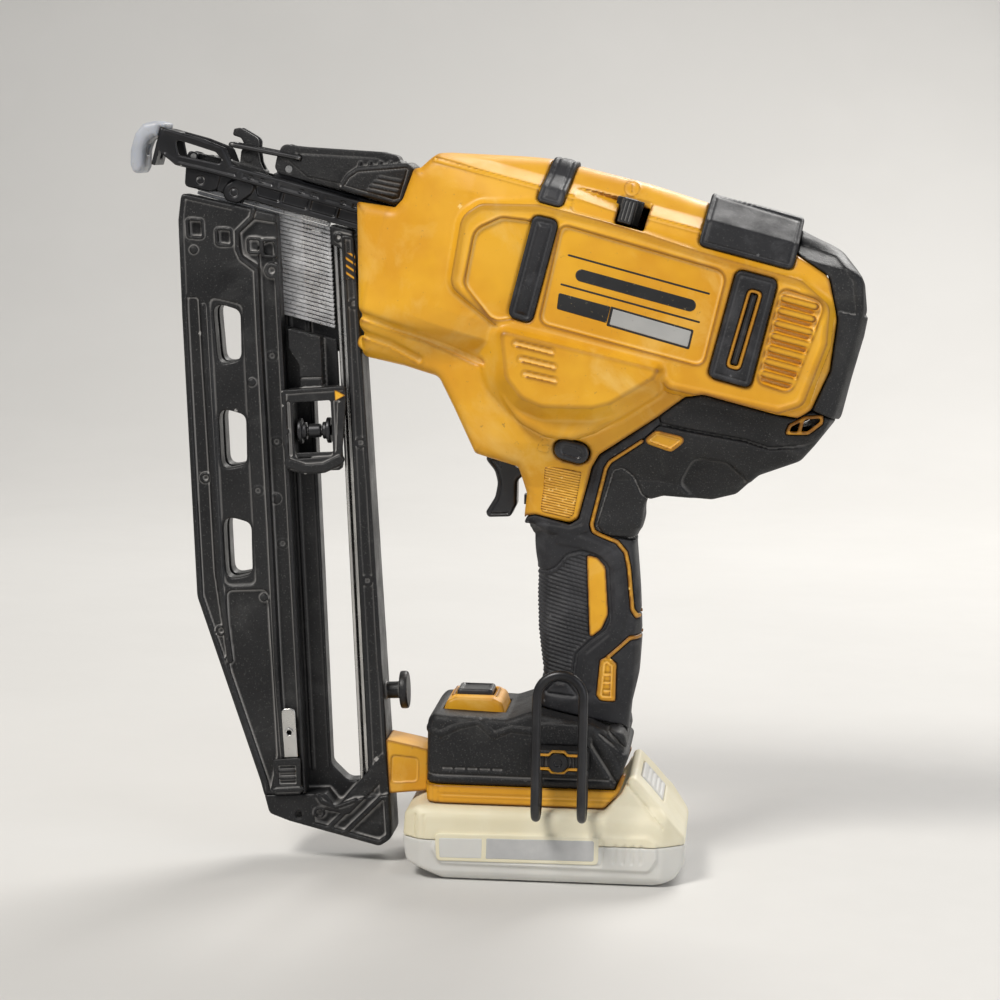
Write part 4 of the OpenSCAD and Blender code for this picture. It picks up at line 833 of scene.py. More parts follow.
FOOT_SIDE = [(-44.3, 65.5, 4), (-40.5, 68.5, 3), (-9.5, 67.5, 6), (0, 71, 6), (39, 63.5, 5), (40.6, 52.5, 2),
             (35.5, 39, 0), (-44.3, 39, 0)]
FOOT_PLAN = [(-44.3, 31, 9), (44, 31, 9)]


def yellow_trim():
    """Piping, tag, insert, diamond and vent frame let into the black skin."""
    g = mirror(Grid((20, -34, 70), (120, 34, 200), 0.42))
    base = cover_form(g)
    lines = smin(g.line(PIPING), g.line(LOW_PIPING)) - 0.8
    skin_band = smax(base - 0.35, -(base + 0.95), 0.3)
    f = smax(lines, skin_band, 0.45)
    diamond = g.side_of([p + (1.5,) for p in DIAMOND])
    raised_band = smax(base - 0.5, -(base + 1.4), 0.3)
    ring = smax(within(diamond, 0.75), raised_band, 0.5)
    plate = smax(diamond, smax(base + 0.3, -(base + 1.4)))
    f = smin(f, smin(ring, plate))
    vent = g.side_of(VENT)
    bars = smin(within(vent + 0.7, 0.65), smax(g.line([(106.3, 188), (108.6, 197)]) - 0.7, vent))
    f = smin(f, smax(smax(bars, raised_band, 0.4), vent))
    tag = g.side_of(TAG)
    plate = smax(tag, smax(base - 0.1, -(base + 0.9)), 0.5)
    plate = cut(plate, smax(within(tag + 2.0, 0.35), -(base + 0.35)), 0.3)
    for z in (78.5, 82.0, 85.5):
        plate = cut(plate, smax(g.line([(29.6, z), (31.4, z)]) - 0.5, -(base + 0.35)), 0.3)
    f = smin(f, plate)
    insert = smax(g.side_of(INSERT), smax(base - 0.15, -(base + 0.9)), 0.5)
    f = smin(f, insert)
    f = smax(f, 6.5 - g.y)
    return skin("grip_trim", g, f, "tool", YELLOW, ("grip_inlay",))


def trigger_inlay():
    """Fine ribs raised on the yellow shell behind the trigger."""
    g = mirror(Grid((-4, -23, 146), (22, 23, 177), 0.3))
    base = body_form(g)
    zone = g.side_of([(3.2, 172.6, 1.5), (18.6, 170.8, 1.5), (15.2, 152.0, 2), (13.4, 150.4, 1.5),
                      (1.2, 153.0, 2), (2.6, 163, 8)])
    pitch = 1.12
    wave = flat(np.cos((g.Z + 0.2 * g.X) * (2 * math.pi / pitch)))
    f = smax(zone, smax(base - 0.22 - 0.2 * wave, -(base + 0.8)), 0.3)
    f = smax(f, 9 - g.y)
    return skin("trigger_inlay", g, f, "tool", YELLOW)


rear_cap()
undercover()
sleeve()
yellow_trim()
trigger_inlay()

# ---------------------------------------------------------------- magazine, in its own leaning frame

MAG_SIDE = [(-66.5, 8, 2), (-6, -9, 1), (4.6, -12, 2), (6.4, -130, 0), (8.4, -266, 4), (3, -269.4, 3),
            (-35, -257.6, 3), (-43.5, -254, 3), (-46.5, -240, 3), (-69.3, -160, 12), (-69, -40, 0),
            (-68.4, -2, 2)]
WINDOWS = [[(-56, -36.5, 5), (-44.6, -40.5, 4), (-45.2, -61, 4), (-55, -63, 4)],
           [(-56, -80.5, 5), (-44.6, -84.3, 4), (-45.2, -105, 4), (-56, -107, 4)],
           [(-56.6, -126, 5), (-44.8, -129.8, 4), (-45.4, -151.5, 4), (-56.6, -153.5, 4)]]
FAR_SLOT = [(-17, -8, 2), (-0.8, -12.5, 0), (-0.8, -243, 0), (-11, -243.5, 5), (-18, -236, 4)]
MAIN_RIDGE = [(-36.4, 1.0), (-37.6, -2.4), (-43.8, -7.9), (-44.1, -15.1), (-42.6, -18.9), (-36.6, -23.8),
              (-36.9, -50.5), (-36.6, -132.2), (-37.0, -194.1), (-36.0, -229.5)]


def magazine_cover():
    """The side that faces out, with its ridges, windows, pockets and marks."""
    g = Grid((-71, -13.6, -249), (-26, -1.0, 11), 0.5)
    side = g.side_of([(-66.5, 9.2, 2), (-6, -7.2, 1)] + MAG_SIDE[2:])
    f = smax(side, g.slab(-12, -1.6), 0.9)
    f = smax(f, block(g, (-80, -30, -245.8), (-27.4, 30, 20)), 0.5)
    # recessed flats: between the front rim and the strip, and beside the lower front edge
    inner = side + 2.4
    recess = smax(inner, g.side_of([(-80, -34, 2), (-61.6, -34, 2), (-61.2, -150, 3), (-58.0, -186, 2),
                                    (-80, -200, 0)]), 0.6)
    f = cut(f, smax(recess, g.y + 11.1, 0.3), 0.5)
    low = smax(side + 3.0, g.side_of([(-56.8, -158, 3), (-39.2, -158, 3), (-38.6, -229, 2), (-44, -250, 2),
                                      (-58, -250, 0)]), 0.8)
    f = cut(f, smax(low, g.y + 10.4, 0.4), 0.7)
    mid = [(-57.4, -34, 3), (-43.4, -38, 3), (-43.6, -156, 3), (-57.4, -156, 3)]
    f = sink(f, g, mid, -12, 0.7, 0.5)
    # long channel right of the main ridge, with the lip that the nails run against
    f = cut(f, smax(g.side_of([(-35.6, -14, 2), (-29.2, -12, 2), (-28.9, -246, 1), (-35.6, -246, 1)]),
                    g.y + 9.0, 0.5), 0.6)
    f = cut(f, smax(g.side_of([(-43.0, -8.0, 1), (-36.6, -3.0, 1), (-26, -5, 0), (-26, -22, 0),
                               (-36.0, -22, 1), (-42.4, -17.5, 1)]),
                    g.y + 10.2, 0.4), 0.6)
    f = ridge(f, g, MAIN_RIDGE, -12, 1.2, 0.85, 0.7, 4.0)
    f = ridge(f, g, [(-59.9, -38.2), (-59.5, -118.6), (-59.4, -150), (-56.6, -188)], -12, 0.7, 1.05, 0.5)
    f = smin(f, smax(smax(within(side + 1.0, 0.8), -12.5 - g.y, 0.4), smax(g.y + 10, flat(g.X) + 45)), 0.5)
    # framed square pockets at the top, and the ring and dome marks
    for x0, z0, x1, z1, skew, top, foot, deep in (
            (-64, -2.4, -58.9, -9.1, 0.5, -12.6, -10.5, True),
            (-52.0, -6.8, -47.0, -12.8, 0.5, -12.6, -10.5, True),
            (-39.2, -11.4, -35.0, -16.4, 0.4, -12.0, -9.4, False),
            (-33.2, -12.2, -28.6, -18.2, 0.4, -12.0, -9.4, False)):
        square = [(x0, z0, 0.6), (x1, z0 - skew, 0.6), (x1, z1, 0.6), (x0, z1 + skew, 0.6)]
        f = smin(f, smax(smax(within(g.side_of(square) - 0.6, 0.6), top - g.y, 0.3), g.y - foot), 0.3)
        if deep:
            f = sink(f, g, square, -12, 2.6, 0.3)
    for x, z in ((-41.1, -70.6), (-40.9, -161.4), (-62.5, -14.5)):
        f = smin(f, smax(g.ycyl(x, z, 1.7), -12.9 - g.y, 0.9), 0.3)
    for x, z in ((-40.9, -116.1), (-32.2, -139.1), (-32.4, -96), (-32.4, -60)):
        face = -12 if x < -36 else -9
        f = smin(f, smax(smax(within(g.ycyl(x, z, 1.7), 0.35), face - 0.35 - g.y, 0.2), g.y - face - 1), 0.2)
    boss = g.ycyl(-30.4, -24.5, 3.2)
    f = smin(f, smax(boss, -11.8 - g.y, 0.6), 0.6)
    f = cut(f, smax(g.ycyl(-30.4, -24.5, 1.5), g.y + 10.2), 0.3)
    for w in WINDOWS:
        f = cut(f, g.side_of(w), 1.1)
    for x, z in ((-63, -110), (-34, -120), (-60, -175), (-34, -216)):
        f = smin(f, smax(smax(g.ycyl(x, z, 2.2), (-11.9 if x < -36 else -9.6) - g.y, 0.5), g.y + 6), 0.3)
        f = cut(f, smax(g.ycyl(x, z, 1.3), g.y + 10.4), 0.3)
    f = smax(f, g.y + 1.6)
    return skin("magazine_side", g, f, "tool", SATIN, ("magazine_cover",), fold=mag_fold)


def magazine_body():
    """The frame behind: far wall, front wall, rear beam, end block and the hooked post."""
    g = Grid((-71, -12.8, -271), (18.5, 13.2, 9.5), 0.62)
    side = g.side_of(MAG_SIDE)
    far = smax(side, g.slab(1.6, 12), 0.9)
    far = cut(far, g.side_of(FAR_SLOT), 0.6)
    for q in (-70, -116, -164, -210):
        far = cut(far, smax(g.side_of([(-66, q + 34, 3), (-58, q + 34, 3), (-58, q - 4, 3), (-66, q - 4, 3)]),
                            9 - g.y, 0.4), 0.6)
    for q in (-60, -110, -160, -210):
        far = cut(far, smax(g.side_of([(-40, q + 40, 3), (-21, q + 40, 3), (-21, q - 2, 3), (-40, q - 2, 3)]),
                            9 - g.y, 0.4), 0.6)
    # the inner face the nails pass has two raised runners
    for p in (-26.0, -18.4):
        far = smin(far, smax(smax(g.line([(p, -20), (p, -238)]) - 0.5, 1.1 - g.y, 0.2), g.y - 4), 0.3)
    wall = smax(smax(smax(side, -(side + 1.6)), g.slab(-1.6, 1.8)), block(g, (-80, -5, -245), (-44, 5, 0)))
    f = smin(far, wall, 0.3)
    # dark backing behind the nails' heads, and the bracket that closes the top of the loading slot
    f = smin(f, block(g, (-18, 3.4, -60), (-0.4, 6.6, -10), 0.5), 0.4)
    bracket = smax(g.side_of([(-5.9, -6.6, 0.6), (3.9, -9.7, 0.6), (3.9, -17.5, 0), (-0.8, -17.5, 0),
                              (-5.9, -14.6, 1.5)]),
                   g.slab(-6.2, 9), 0.5)
    bracket = smin(bracket, smax(smax(g.ycyl(-2.4, -12.0, 2.0), g.y + 5, 0.3), -7.2 - g.y), 0.3)
    bracket = cut(bracket, smax(g.ycyl(-2.4, -12.0, 0.9), g.y + 6.4), 0.2)
    f = smin(f, bracket, 0.4)
    beam = smax(smax(side, g.slab(-9, 9), 0.9), block(g, (-0.8, -20, -248), (20, 20, -9)), 0.5)
    edge = smin(smax(within(side + 0.8, 0.6), flat(1 - g.X)), g.line([(-0.3, -12), (0.6, -246)]) - 0.6)
    beam = smin(beam, smax(smax(edge, -9.5 - g.y, 0.3), g.y + 6), 0.4)
    for z in (-39.6, -97.7, -156):
        beam = smin(beam, smax(smax(within(g.ycyl(3.0, z, 1.8), 0.4), -9.4 - g.y, 0.2), g.y + 7), 0.3)
    f = smin(f, beam, 0.4)
    end = smax(smax(side, g.slab(-12, 12), 0.9),
               g.side_of([(-50, -246, 0), (-19, -246, 1), (-15, -251.5, 2), (-4.4, -248.6, 3), (20, -246, 0),
                          (20, -275, 0), (-50, -275, 0)]), 0.6)
    pocket = smax(side + 2.4,
                  g.side_of([(-24.4, -252.2, 1), (-9.6, -255.4, 1), (8, -239, 0), (12, -290, 0),
                             (-24.4, -290, 0)]))
    for a, b in (((-18.6, -261.2), (6.6, -238.0)), ((-11.9, -263.6), (7.2, -246.2))):
        pocket = cut(pocket, g.line([a, b]) - 1.0)
    end = cut(end, smax(pocket, g.y + 9.4, 0.4), 0.5)
    f = smin(f, end, 0.5)
    # brace plate in the corner between the end block and the beam
    brace = smax(smax(g.side_of([(-13, -250.8, 1), (6.6, -229.4, 1), (9.2, -266, 0), (-20, -262, 0)]), side),
                 g.slab(-9.6, 9))
    brace = cut(brace, smax(smax(pocket,
                                 g.side_of([(-13, -252.6, 0), (5, -233, 0), (5.4, -262, 0),
                                            (-18, -259, 0)]) + 1.0), g.y + 7.4), 0.4)
    f = smin(f, brace, 0.6)
    curl = g.line([(-22.6, -246.4), (-20.6, -249.6), (-14.8, -252.0), (-6.4, -249.2)])
    f = smin(f, smax(smax(curl - 0.7, -12.6 - g.y, 0.3), g.y + 9), 0.4)
    f = smin(f, smax(smax(within(g.ycyl(-22, -254.3, 1.9), 0.4), -12.5 - g.y, 0.2), g.y + 8), 0.3)
    # hooked post on the rear edge
    stem = np.maximum(xcyl(g, 0, -204.4, 3.6), flat(within(g.X - 10, 6)))
    disc = smax(xcyl(g, 0, -204.4, 8.0), flat(within(g.X - 15.4, 1.7)), 0.8)
    f = smin(f, smin(stem, disc, 1.0), 0.5)
    for w in WINDOWS:
        f = cut(f, g.side_of(w), 1.0)
    for x, z in ((-62, -14), (-34, -22), (-63, -110), (-34, -120), (-60, -175), (-34, -216)):
        f = cut(f, smax(g.ycyl(x, z, 1.5), g.y - 9.5), 0.2)
    f = cut(f, smax(g.ycyl(-31, -255, 1.5), g.y + 7), 0.3)
    return skin("magazine_frame", g, f, "tool", SATIN, ("magazine_body",), fold=mag_fold)


def rail():
    """Steel bar that the nails slide on."""
    g = Grid((-5.6, -5.0, -243.4), (0, 5.0, -12.4), 0.36)
    f = block(g, (-4.9, -4.2, -242.6), (-3.3, 4.2, -13.2), 0.5)
    f = smin(f, block(g, (-3.6, -1.5, -242.6), (-0.8, 1.5, -13.2), 0.4), 0.4)
    return skin("rail_bar", g, f, "tool", STEEL, ("magazine_rail",), fold=mag_fold)


def stripe_patch():
    """Small warning patch of slanted bars on the rear beam."""
    for name, mat, slot, y1 in (("patch_ground", INK, "magazine_black", -9.12),
                                ("patch_bars", YELLOW, "yellow_shell", -9.2)):
        g = Grid((-0.4, -9.8, -30.6), (5.6, -8.4, -17.2), 0.16)
        f = smax(g.side_of([(0.5, -18.4, 0.4), (4.7, -18.6, 0.4), (4.5, -29.6, 0.4), (0.3, -29.5, 0.4)]),
                 g.slab(y1 - 0.1, -8.9), 0.1)
        if name == "patch_bars":
            s = (g.Z + 0.75 * g.X).astype(np.float32)
            wave = flat(np.abs((s / 3.1) % 1.0 - 0.5) * 3.1 - 0.72)
            f = smax(f, wave * 0.8)
        skin(name, g, f, "tool", mat, fold=mag_fold)


def nails():
    """Collated strip: every nail is its own bar with a point, grip rings and a head."""
    verts, quads = [], []
    nail_count, pitch, ring_count, ring_pitch = 30, 1.7, 9, 1.2
    # each head lies this much further along the drive line for every millimetre down the strip
    lean = math.tan(DRIVE_LEAN + MAG_LEAN)
    for k in range(1, nail_count + 1):
        t = pitch * k
        u1 = -93.6 + t * lean
        # (place along the drive line, half width across, half width along the strip), from point to head
        stations = [(u1 - 57.9, 0.10, 0.62), (u1 - 57.0, 0.35, 0.74), (u1 - 56.0, 0.58, 0.76),
                    (u1 - 12.6, 0.58, 0.76)]
        for i in range(ring_count):
            a = u1 - 12.2 + i * ring_pitch
            stations += [(a, 0.60, 0.79), (a + 0.3, 0.42, 0.62), (a + 0.7, 0.42, 0.62)]
        stations += [(u1 - 1.3, 0.58, 0.76), (u1 - 1.15, 1.18, 0.78), (u1 - 0.1, 1.2, 0.79), (u1, 1.1, 0.7)]
        base = len(verts)
        for u, hy, hw in stations:
            c = min(hy, hw) * 0.45
            for y, w in ((-hy, -hw + c), (-hy + c, -hw), (hy - c, -hw), (hy, -hw + c), (hy, hw - c),
                         (hy - c, hw), (-hy + c, hw), (-hy, hw - c)):
                verts.append((u, y, -t + w))
        m = len(stations)
        for i in range(m - 1):
            for j in range(8):
                a, b = base + i * 8 + j, base + i * 8 + (j + 1) % 8
                quads.append((a, b, b + 8, a + 8))
        for ring in (base, base + (m - 1) * 8):
            r = [ring + j for j in range(8)]
            if ring == base:
                r = r[::-1]
            quads += [(r[0], r[1], r[2], r[3]), (r[0], r[3], r[4], r[7]), (r[4], r[5], r[6], r[7])]
    ob = mesh_object("nail_bars", drv_fold(np.array(verts, float)), np.zeros((0, 3), int), np.array(quads))
    ob.data.polygons.foreach_set("use_smooth", np.zeros(len(ob.data.polygons), bool))
    finish(ob, "tool", NAIL, ("nail_strip",))


def pusher():
    """Finger plate, follower and tongue, with its arrow and its spool."""
    g = Grid((-43.5, -16.0, -111.5), (0.5, 2.0, -42), 0.4)
    plate = prism(g, [(-28.2, -74, 2), (-1.5, -73.2, 1), (-1.6, -80, 2), (-4.3, -101, 2), (-4.3, -106.2, 2),
                      (-12, -109.4, 6), (-20, -109.8, 6), (-27.4, -107.6, 2), (-29, -96, 3)], -15, -12.3, 0.5)
    neck = prism(g, [(-26.7, -74, 1), (-5.4, -73.4, 1), (-5.4, -108.6, 1), (-26.7, -108.6, 1)], -12.6, -4.6,
                 0.4)
    f = smin(plate, neck, 0.4)
    rim = smin(g.line([(-27.6, -74.9), (-2.4, -74.1)]) - 0.8,
               g.line([(-27.3, -75), (-28.0, -95.5), (-26.6, -106)]) - 0.8)
    f = smin(f, smax(smax(rim, -15.7 - g.y, 0.4), g.y + 13), 0.4)
    lip = g.line([(-26.8, -104.6), (-20, -107.2), (-12, -107.0), (-5.4, -104.0)]) - 1.9
    f = smin(f, smax(smax(lip, -15.9 - g.y, 0.8), g.y + 12.4), 0.5)
    f = cut(f, g.side_of([(-24, -79.5, 1), (-8, -79, 1), (-8, -102.4, 1.5), (-24, -103, 1.5)]), 0.5)
    f = sink(f, g, [(-26.4, -79, 1), (-25.0, -79, 1), (-25.0, -102, 1), (-26.4, -102, 1)], -15, 0.8, 0.3)
    f = sink(f, g, [(-7.0, -79, 1), (-4.6, -79, 1), (-6.4, -100, 1), (-7.2, -101, 1)], -15, 0.7, 0.3)
    bar = block(g, (-24.4, -14.2, -102.6), (-7.6, -12.6, -100.6), 0.4)
    f = smin(f, bar, 0.3)
    follower = prism(g, [(-25, -48.6, 0.6), (-11.5, -53, 0.6), (-11.5, -76, 0), (-21, -76, 0), (-21, -64, 1),
                         (-25, -57, 1)], -11, -1, 0.6)
    grains = flat(np.sin(g.X * 4.1 + 2.2 * np.sin(g.Z * 1.7)) * np.sin(g.Z * 4.6 + 1.9 * np.sin(g.X * 2.3)))
    follower = follower - 0.12 * grains
    follower = cut(follower, smax(g.line([(-26, -69.6), (-10, -69.8)]) - 0.3, g.y + 10.3), 0.3)
    tongue = prism(g, [(-42, -43.4, 0.5), (-6, -54.8, 0.5), (-6, -108, 0), (-26, -108, 0), (-42, -70, 1)],
                   -1.25, 1.25, 0.3)
    f = smin(f, smin(follower, tongue, 0.3), 0.3)
    f = smin(f, block(g, (-22, -5, -79.6), (-8, -1, -75.6)), 0.3)
    f = smin(f, block(g, (-26, -5, -108), (-6, -1, -103)), 0.3)
    f = cut(f, smax(g.side_of([(-25, -80, 0), (-7, -80, 0), (-7, -102, 0), (-25, -102, 0)]),
                    within(g.y, 1.6)), 0.2)
    pin = smax(g.ycyl(-27.2, -91.4, 1.2), -15.7 - g.y, 0.5)
    f = smin(f, smax(pin, g.y + 12.4), 0.3)
    skin("pusher_frame", g, f, "pusher", SATIN, ("pusher",), fold=mag_fold)
    g = Grid((-6.4, -16.0, -80), (-0.6, -14.2, -73.6), 0.2)
    f = smax(g.side_of([(-6.0, -74.6, 0.2), (-1.6, -77.2, 0.2), (-6.0, -79.4, 0.2)]), g.slab(-15.7, -14.8),
             0.2)
    skin("pusher_arrow", g, f, "pusher", YELLOW, fold=mag_fold)
    g = Grid((-24.6, -13.6, -99.0), (-7.4, -3.2, -85.0), 0.36)
    axle = smax(xcyl(g, -8.4, -92, 2.0), flat(within(g.X + 16, 7.9)), 0.2)
    f = axle
    for x, r in ((-22.0, 5.4), (-20.2, 3.6), (-11.8, 3.6), (-10.0, 5.4)):
        f = smin(f, smax(xcyl(g, -8.4, -92, r), flat(within(g.X - x, 0.9)), 0.4), 0.4)
    f = smin(f, smax(xcyl(g, -8.4, -92, 2.9), flat(within(g.X + 16, 2.6)), 0.4), 0.3)
    skin("pusher_spool", g, f, "pusher", DARK_STEEL, ("pusher_reel",), fold=mag_fold)


def end_latch():
    """Spring leaf and catch at the magazine's end."""
    g = Grid((-41.4, -15.2, -246.8), (-24.6, -11.6, -207.4), 0.3)
    leaf = prism(g, [(-35.9, -208.9, 2), (-30.0, -208.9, 2), (-29.8, -230, 0.4), (-35.9, -230, 0.4)], -13.0,
                 -12.1, 0.25)
    leaf = cut(leaf, g.ycyl(-33.0, -219.2, 1.1), 0.3)
    leaf = smin(leaf, smax(within(g.ycyl(-33.0, -219.2, 1.5), 0.35), g.slab(-13.25, -12.4), 0.2), 0.2)
    skin("end_leaf", g, leaf, "tool", STEEL, fold=mag_fold)
    f = prism(g, [(-40.3, -230.4, 1.2), (-28.6, -230, 1.2), (-29, -245.6, 1.2), (-40.3, -245.6, 1.2)], -14.4,
              -12.05, 0.4)
    f = cut(f, smax(g.side_of([(-38.2, -233, 0.6), (-30.6, -233, 0.6), (-30.8, -241.2, 0.6),
                               (-38.2, -241.2, 0.6)]), g.y + 12.9, 0.2), 0.3)
    for z in (-235.6, -238.6):
        f = smin(f, smax(smax(g.line([(-37.4, z), (-31.6, z)]) - 0.7, -14.0 - g.y, 0.4), g.y + 12.6), 0.3)
    f = smin(f, smax(smax(g.line([(-40.6, -243.6), (-28.8, -243.4)]) - 0.9, -14.9 - g.y, 0.3), g.y + 13), 0.3)
    skin("end_catch", g, f, "tool", SATIN, ("magazine_end_latch",), fold=mag_fold)


magazine_cover()
magazine_body()
rail()
stripe_patch()
nails()
pusher()
end_latch()


# ---------------------------------------------------------------- nose, in the drive line's frame

def nosepiece():
    """Cast nose with the firing channel, hinge boss and ribs."""
    g = mirror(Grid((-155.6, -9.4, -17.5), (-61, 9.4, 12.6), 0.42))
    body = prism(g, [(-152, 1.6, 1), (-66, 1.6, 0), (-66, -9, 2), (-140, -9, 3), (-152, -5, 2)], -7.2, 7.2,
                 0.7)
    front = prism(g, [(-154.2, -0.4, 1), (-152.4, -10.4, 2.2), (-141.4, -9.9, 2.6), (-138.8, -8.2, 2),
                      (-138.8, -0.4, 1)],
                  -8.3, 8.3, 1.0)
    f = smin(body, front, 0.8)
    boss = smax(smin(g.ycyl(-131.5, -7.6, 4.6), g.ycyl(-128.6, -4.0, 4.6), 2), g.slab(-8.3, 8.3), 1.0)
    f = smin(f, smax(boss, -11.6 - flat(g.Z)), 0.8)
    f = smin(f, block(g, (-118, -3.9, 1.4), (-78, 3.9, 4.6), 0.5), 0.4)
    f = smin(f, block(g, (-81, -8.0, 0.6), (-62.4, 8.0, 4.5), 0.6), 0.4)
    f = smin(f, prism(g, [(-117, 1.4, 0), (-117, 11.5, 3), (-107, 11.5, 3), (-105, 1.4, 0)], -3.9, 3.9, 0.5),
             0.6)
    f = smin(f, prism(g, [(-154.5, 4.4, 1.5), (-150.2, 4.4, 1), (-150.2, -3, 0), (-154.5, -3, 1.5)], -7.2,
                      7.2, 0.5), 0.4)
    # casting ribs and a long groove on each flank
    f = cut(f, smax(g.side_of([(-124, -1.6, 1.4), (-70, -2.4, 1.4), (-70, -6.6, 1.4), (-122, -6.2, 1.4)]),
                    6.2 - g.y, 0.3), 0.6)
    for u in (-112, -100, -88, -76):
        f = smin(f, smax(smax(flat(within(g.X - u, 0.7)), g.slab(-7.1, 7.1), 0.3),
                         flat(np.abs(g.Z + 4.2)) - 2.6, 0.2), 0.4)
    for u, w in ((-146.5, -6.2), (-131.6, -7.4)):
        f = cut(f, smax(g.ycyl(u, w, 1.9), 7.6 - g.y, 0.2), 0.4)
        f = smin(f, smax(smax(g.ycyl(u, w, 1.3), g.y - 8.0, 0.4), 7 - g.y), 0.2)
    f = cut(f, block(g, (-160, -1.3, -1.3), (-60, 1.3, 1.3)))
    f = cut(f, prism(g, [(-153, 1.3, 0), (-92.3, 1.3, 0), (-88, -20, 0), (-148, -20, 0)], -1.4, 1.4))
    f = cut(f, block(g, (-160, -1.3, 0), (-121, 1.3, 3)))
    f = cut(f, g.ycyl(-112, 7.8, 1.52))
    f = cut(f, g.ycyl(-151.9, 2.6, 1.22))
    f = cut(f, block(g, (-156, -4.6, 1.3), (-147.2, 4.6, 6)))
    return skin("nose_casting", g, f, "tool", DARK_STEEL, ("nosepiece",), fold=drv_fold)


def nose_door():
    """Door over the channel, with the two hooks that the wire bail holds."""
    g = mirror(Grid((-154.4, -6.4, 1.2), (-120.6, 6.4, 20.2), 0.34))
    f = prism(g, [(-153.6, 4.2, 1.5), (-147, 4.2, 0), (-147, 1.8, 0), (-150.2, 1.8, 0.6), (-153.6, 1.8, 1.5)],
              -4.3, 4.3, 0.3)
    f = smin(f, prism(g, [(-147.2, 1.8, 0.4), (-147.2, 4.6, 0.6), (-121.4, 4.6, 1), (-121.4, 1.8, 0.4)], -5.7,
                      5.7, 0.4), 0.3)
    for u in (-144, -141, -138):
        f = smin(f, block(g, (u - 0.5, -4.6, 4.2), (u + 0.5, 4.6, 5.0), 0.3), 0.4)
    claw = g.side_of([(-132.6, 4.2, 0), (-133.4, 9.6, 2), (-132.6, 12.6, 2), (-134.8, 15.0, 1.5),
                      (-138.4, 15.2, 0.8), (-138.6, 17.9, 0.8), (-136.2, 19.0, 1.5), (-131.6, 17.8, 3),
                      (-127.4, 16.6, 3), (-126.6, 12, 3), (-124.6, 7.4, 3), (-121.8, 4.2, 0)])
    f = smin(f, smax(smax(claw, within(g.y - 4.2, 1.3), 0.5), -g.y), 0.6)
    f = smin(f, smax(g.ycyl(-129.6, 8.2, 2.2), within(g.y - 4.2, 1.6), 0.4), 0.3)
    f = cut(f, g.ycyl(-151.9, 2.6, 1.22))
    return skin("door_plate", g, f, "nose_door", BLACK, ("nose_door",), fold=drv_fold)


def contact_trip():
    """Sliding yoke on both sides of the nose, with its foot plate."""
    g = mirror(Grid((-168.8, -10.9, -6.2), (-69, 10.9, 11.8), 0.4))
    rails = g.side_of([(-166.5, 10.8, 2), (-150, 10.8, 2), (-139, 9.6, 2), (-134.5, 3.4, 3), (-70, 3.2, 1),
                       (-70, -2.2, 1), (-135, -2.2, 3), (-158, -2.8, 2), (-165, 0.6, 2), (-168, 3, 1.5)])
    f = smax(smax(rails, g.slab(-10.1, 10.1), 0.4), 8.5 - g.y)
    slot = g.side_of([(-160.5, 7.6, 1.2), (-143.0, 6.8, 1.2), (-139.6, 4.6, 1.2), (-140, 2.6, 1),
                      (-157.6, 1.6, 1.2)])
    f = cut(f, slot, 0.7)
    lines = smin(g.line([(-164.6, 9.9), (-152, 9.4), (-141.2, 8.6), (-135.8, 2.2), (-72, 1.9)]),
                 g.line([(-163, 0.2), (-157, -1.8), (-135.4, -1.2), (-72, -1.2)]))
    f = smin(f, smax(smax(lines - 0.6, g.y - 10.6, 0.3), 9 - g.y), 0.4)
    for u in (-126, -104, -86):
        f = cut(f, smax(smin(g.ycyl(u, 0.4, 0.9), g.ycyl(u + 5, 0.4, 0.9), 1), 9.7 - g.y), 0.3)
    for u in (-131, -115, -95, -77):
        f = smin(f, smax(smax(g.ycyl(u, 0.4, 1.4), g.y - 10.7, 0.5), 9 - g.y), 0.3)
    f = smin(f, block(g, (-166.5, -9.4, 8.8), (-160.5, 9.4, 10.6), 0.4), 0.5)
    plate = block(g, (-168, -9.4, -5.2), (-166.2, 9.4, 10.6), 0.4)
    plate = cut(plate, block(g, (-170, -2.2, -2.2), (-160, 2.2, 2.2)), 0.3)
    f = smin(f, plate, 0.4)
    return skin("trip_yoke", g, f, "contact_trip", DARK_STEEL, ("contact_trip",), fold=drv_fold)


def tip():
    """No-mar pad on the foot plate."""
    g = mirror(Grid((-179, -11.4, -11.6), (-165.2, 11.4, 13.8), 0.36))
    side = g.side_of([(-166.2, 12.7, 1.5), (-170.6, 12.8, 5), (-175.4, 10.4, 4), (-177.7, 5.4, 4),
                      (-177.9, -1.6, 5), (-176.4, -7.8, 4), (-174.4, -10.4, 1.8), (-171.6, -10.2, 1.8),
                      (-170.9, -7, 2), (-172.4, 0, 6), (-171.8, 4.4, 3), (-169.4, 6.6, 1), (-168.05, 6.6, 0),
                      (-168.05, 10.65, 0), (-166.2, 10.65, 0)])
    f = smax(side, g.slab(-10.6, 10.6), 3.0)
    f = cut(f, smax(within(g.y, 2.4), flat(np.abs(g.Z)) - 2.4, 0.6).astype(np.float32), 0.6)
    for y in (4.8, 7.4):
        f = cut(f, smax(within(g.y - y, 0.35), -(side + 0.6)), 0.4)
    return skin("tip_pad", g, f, "contact_trip", PALE, ("no_mar_tip",), fold=drv_fold)


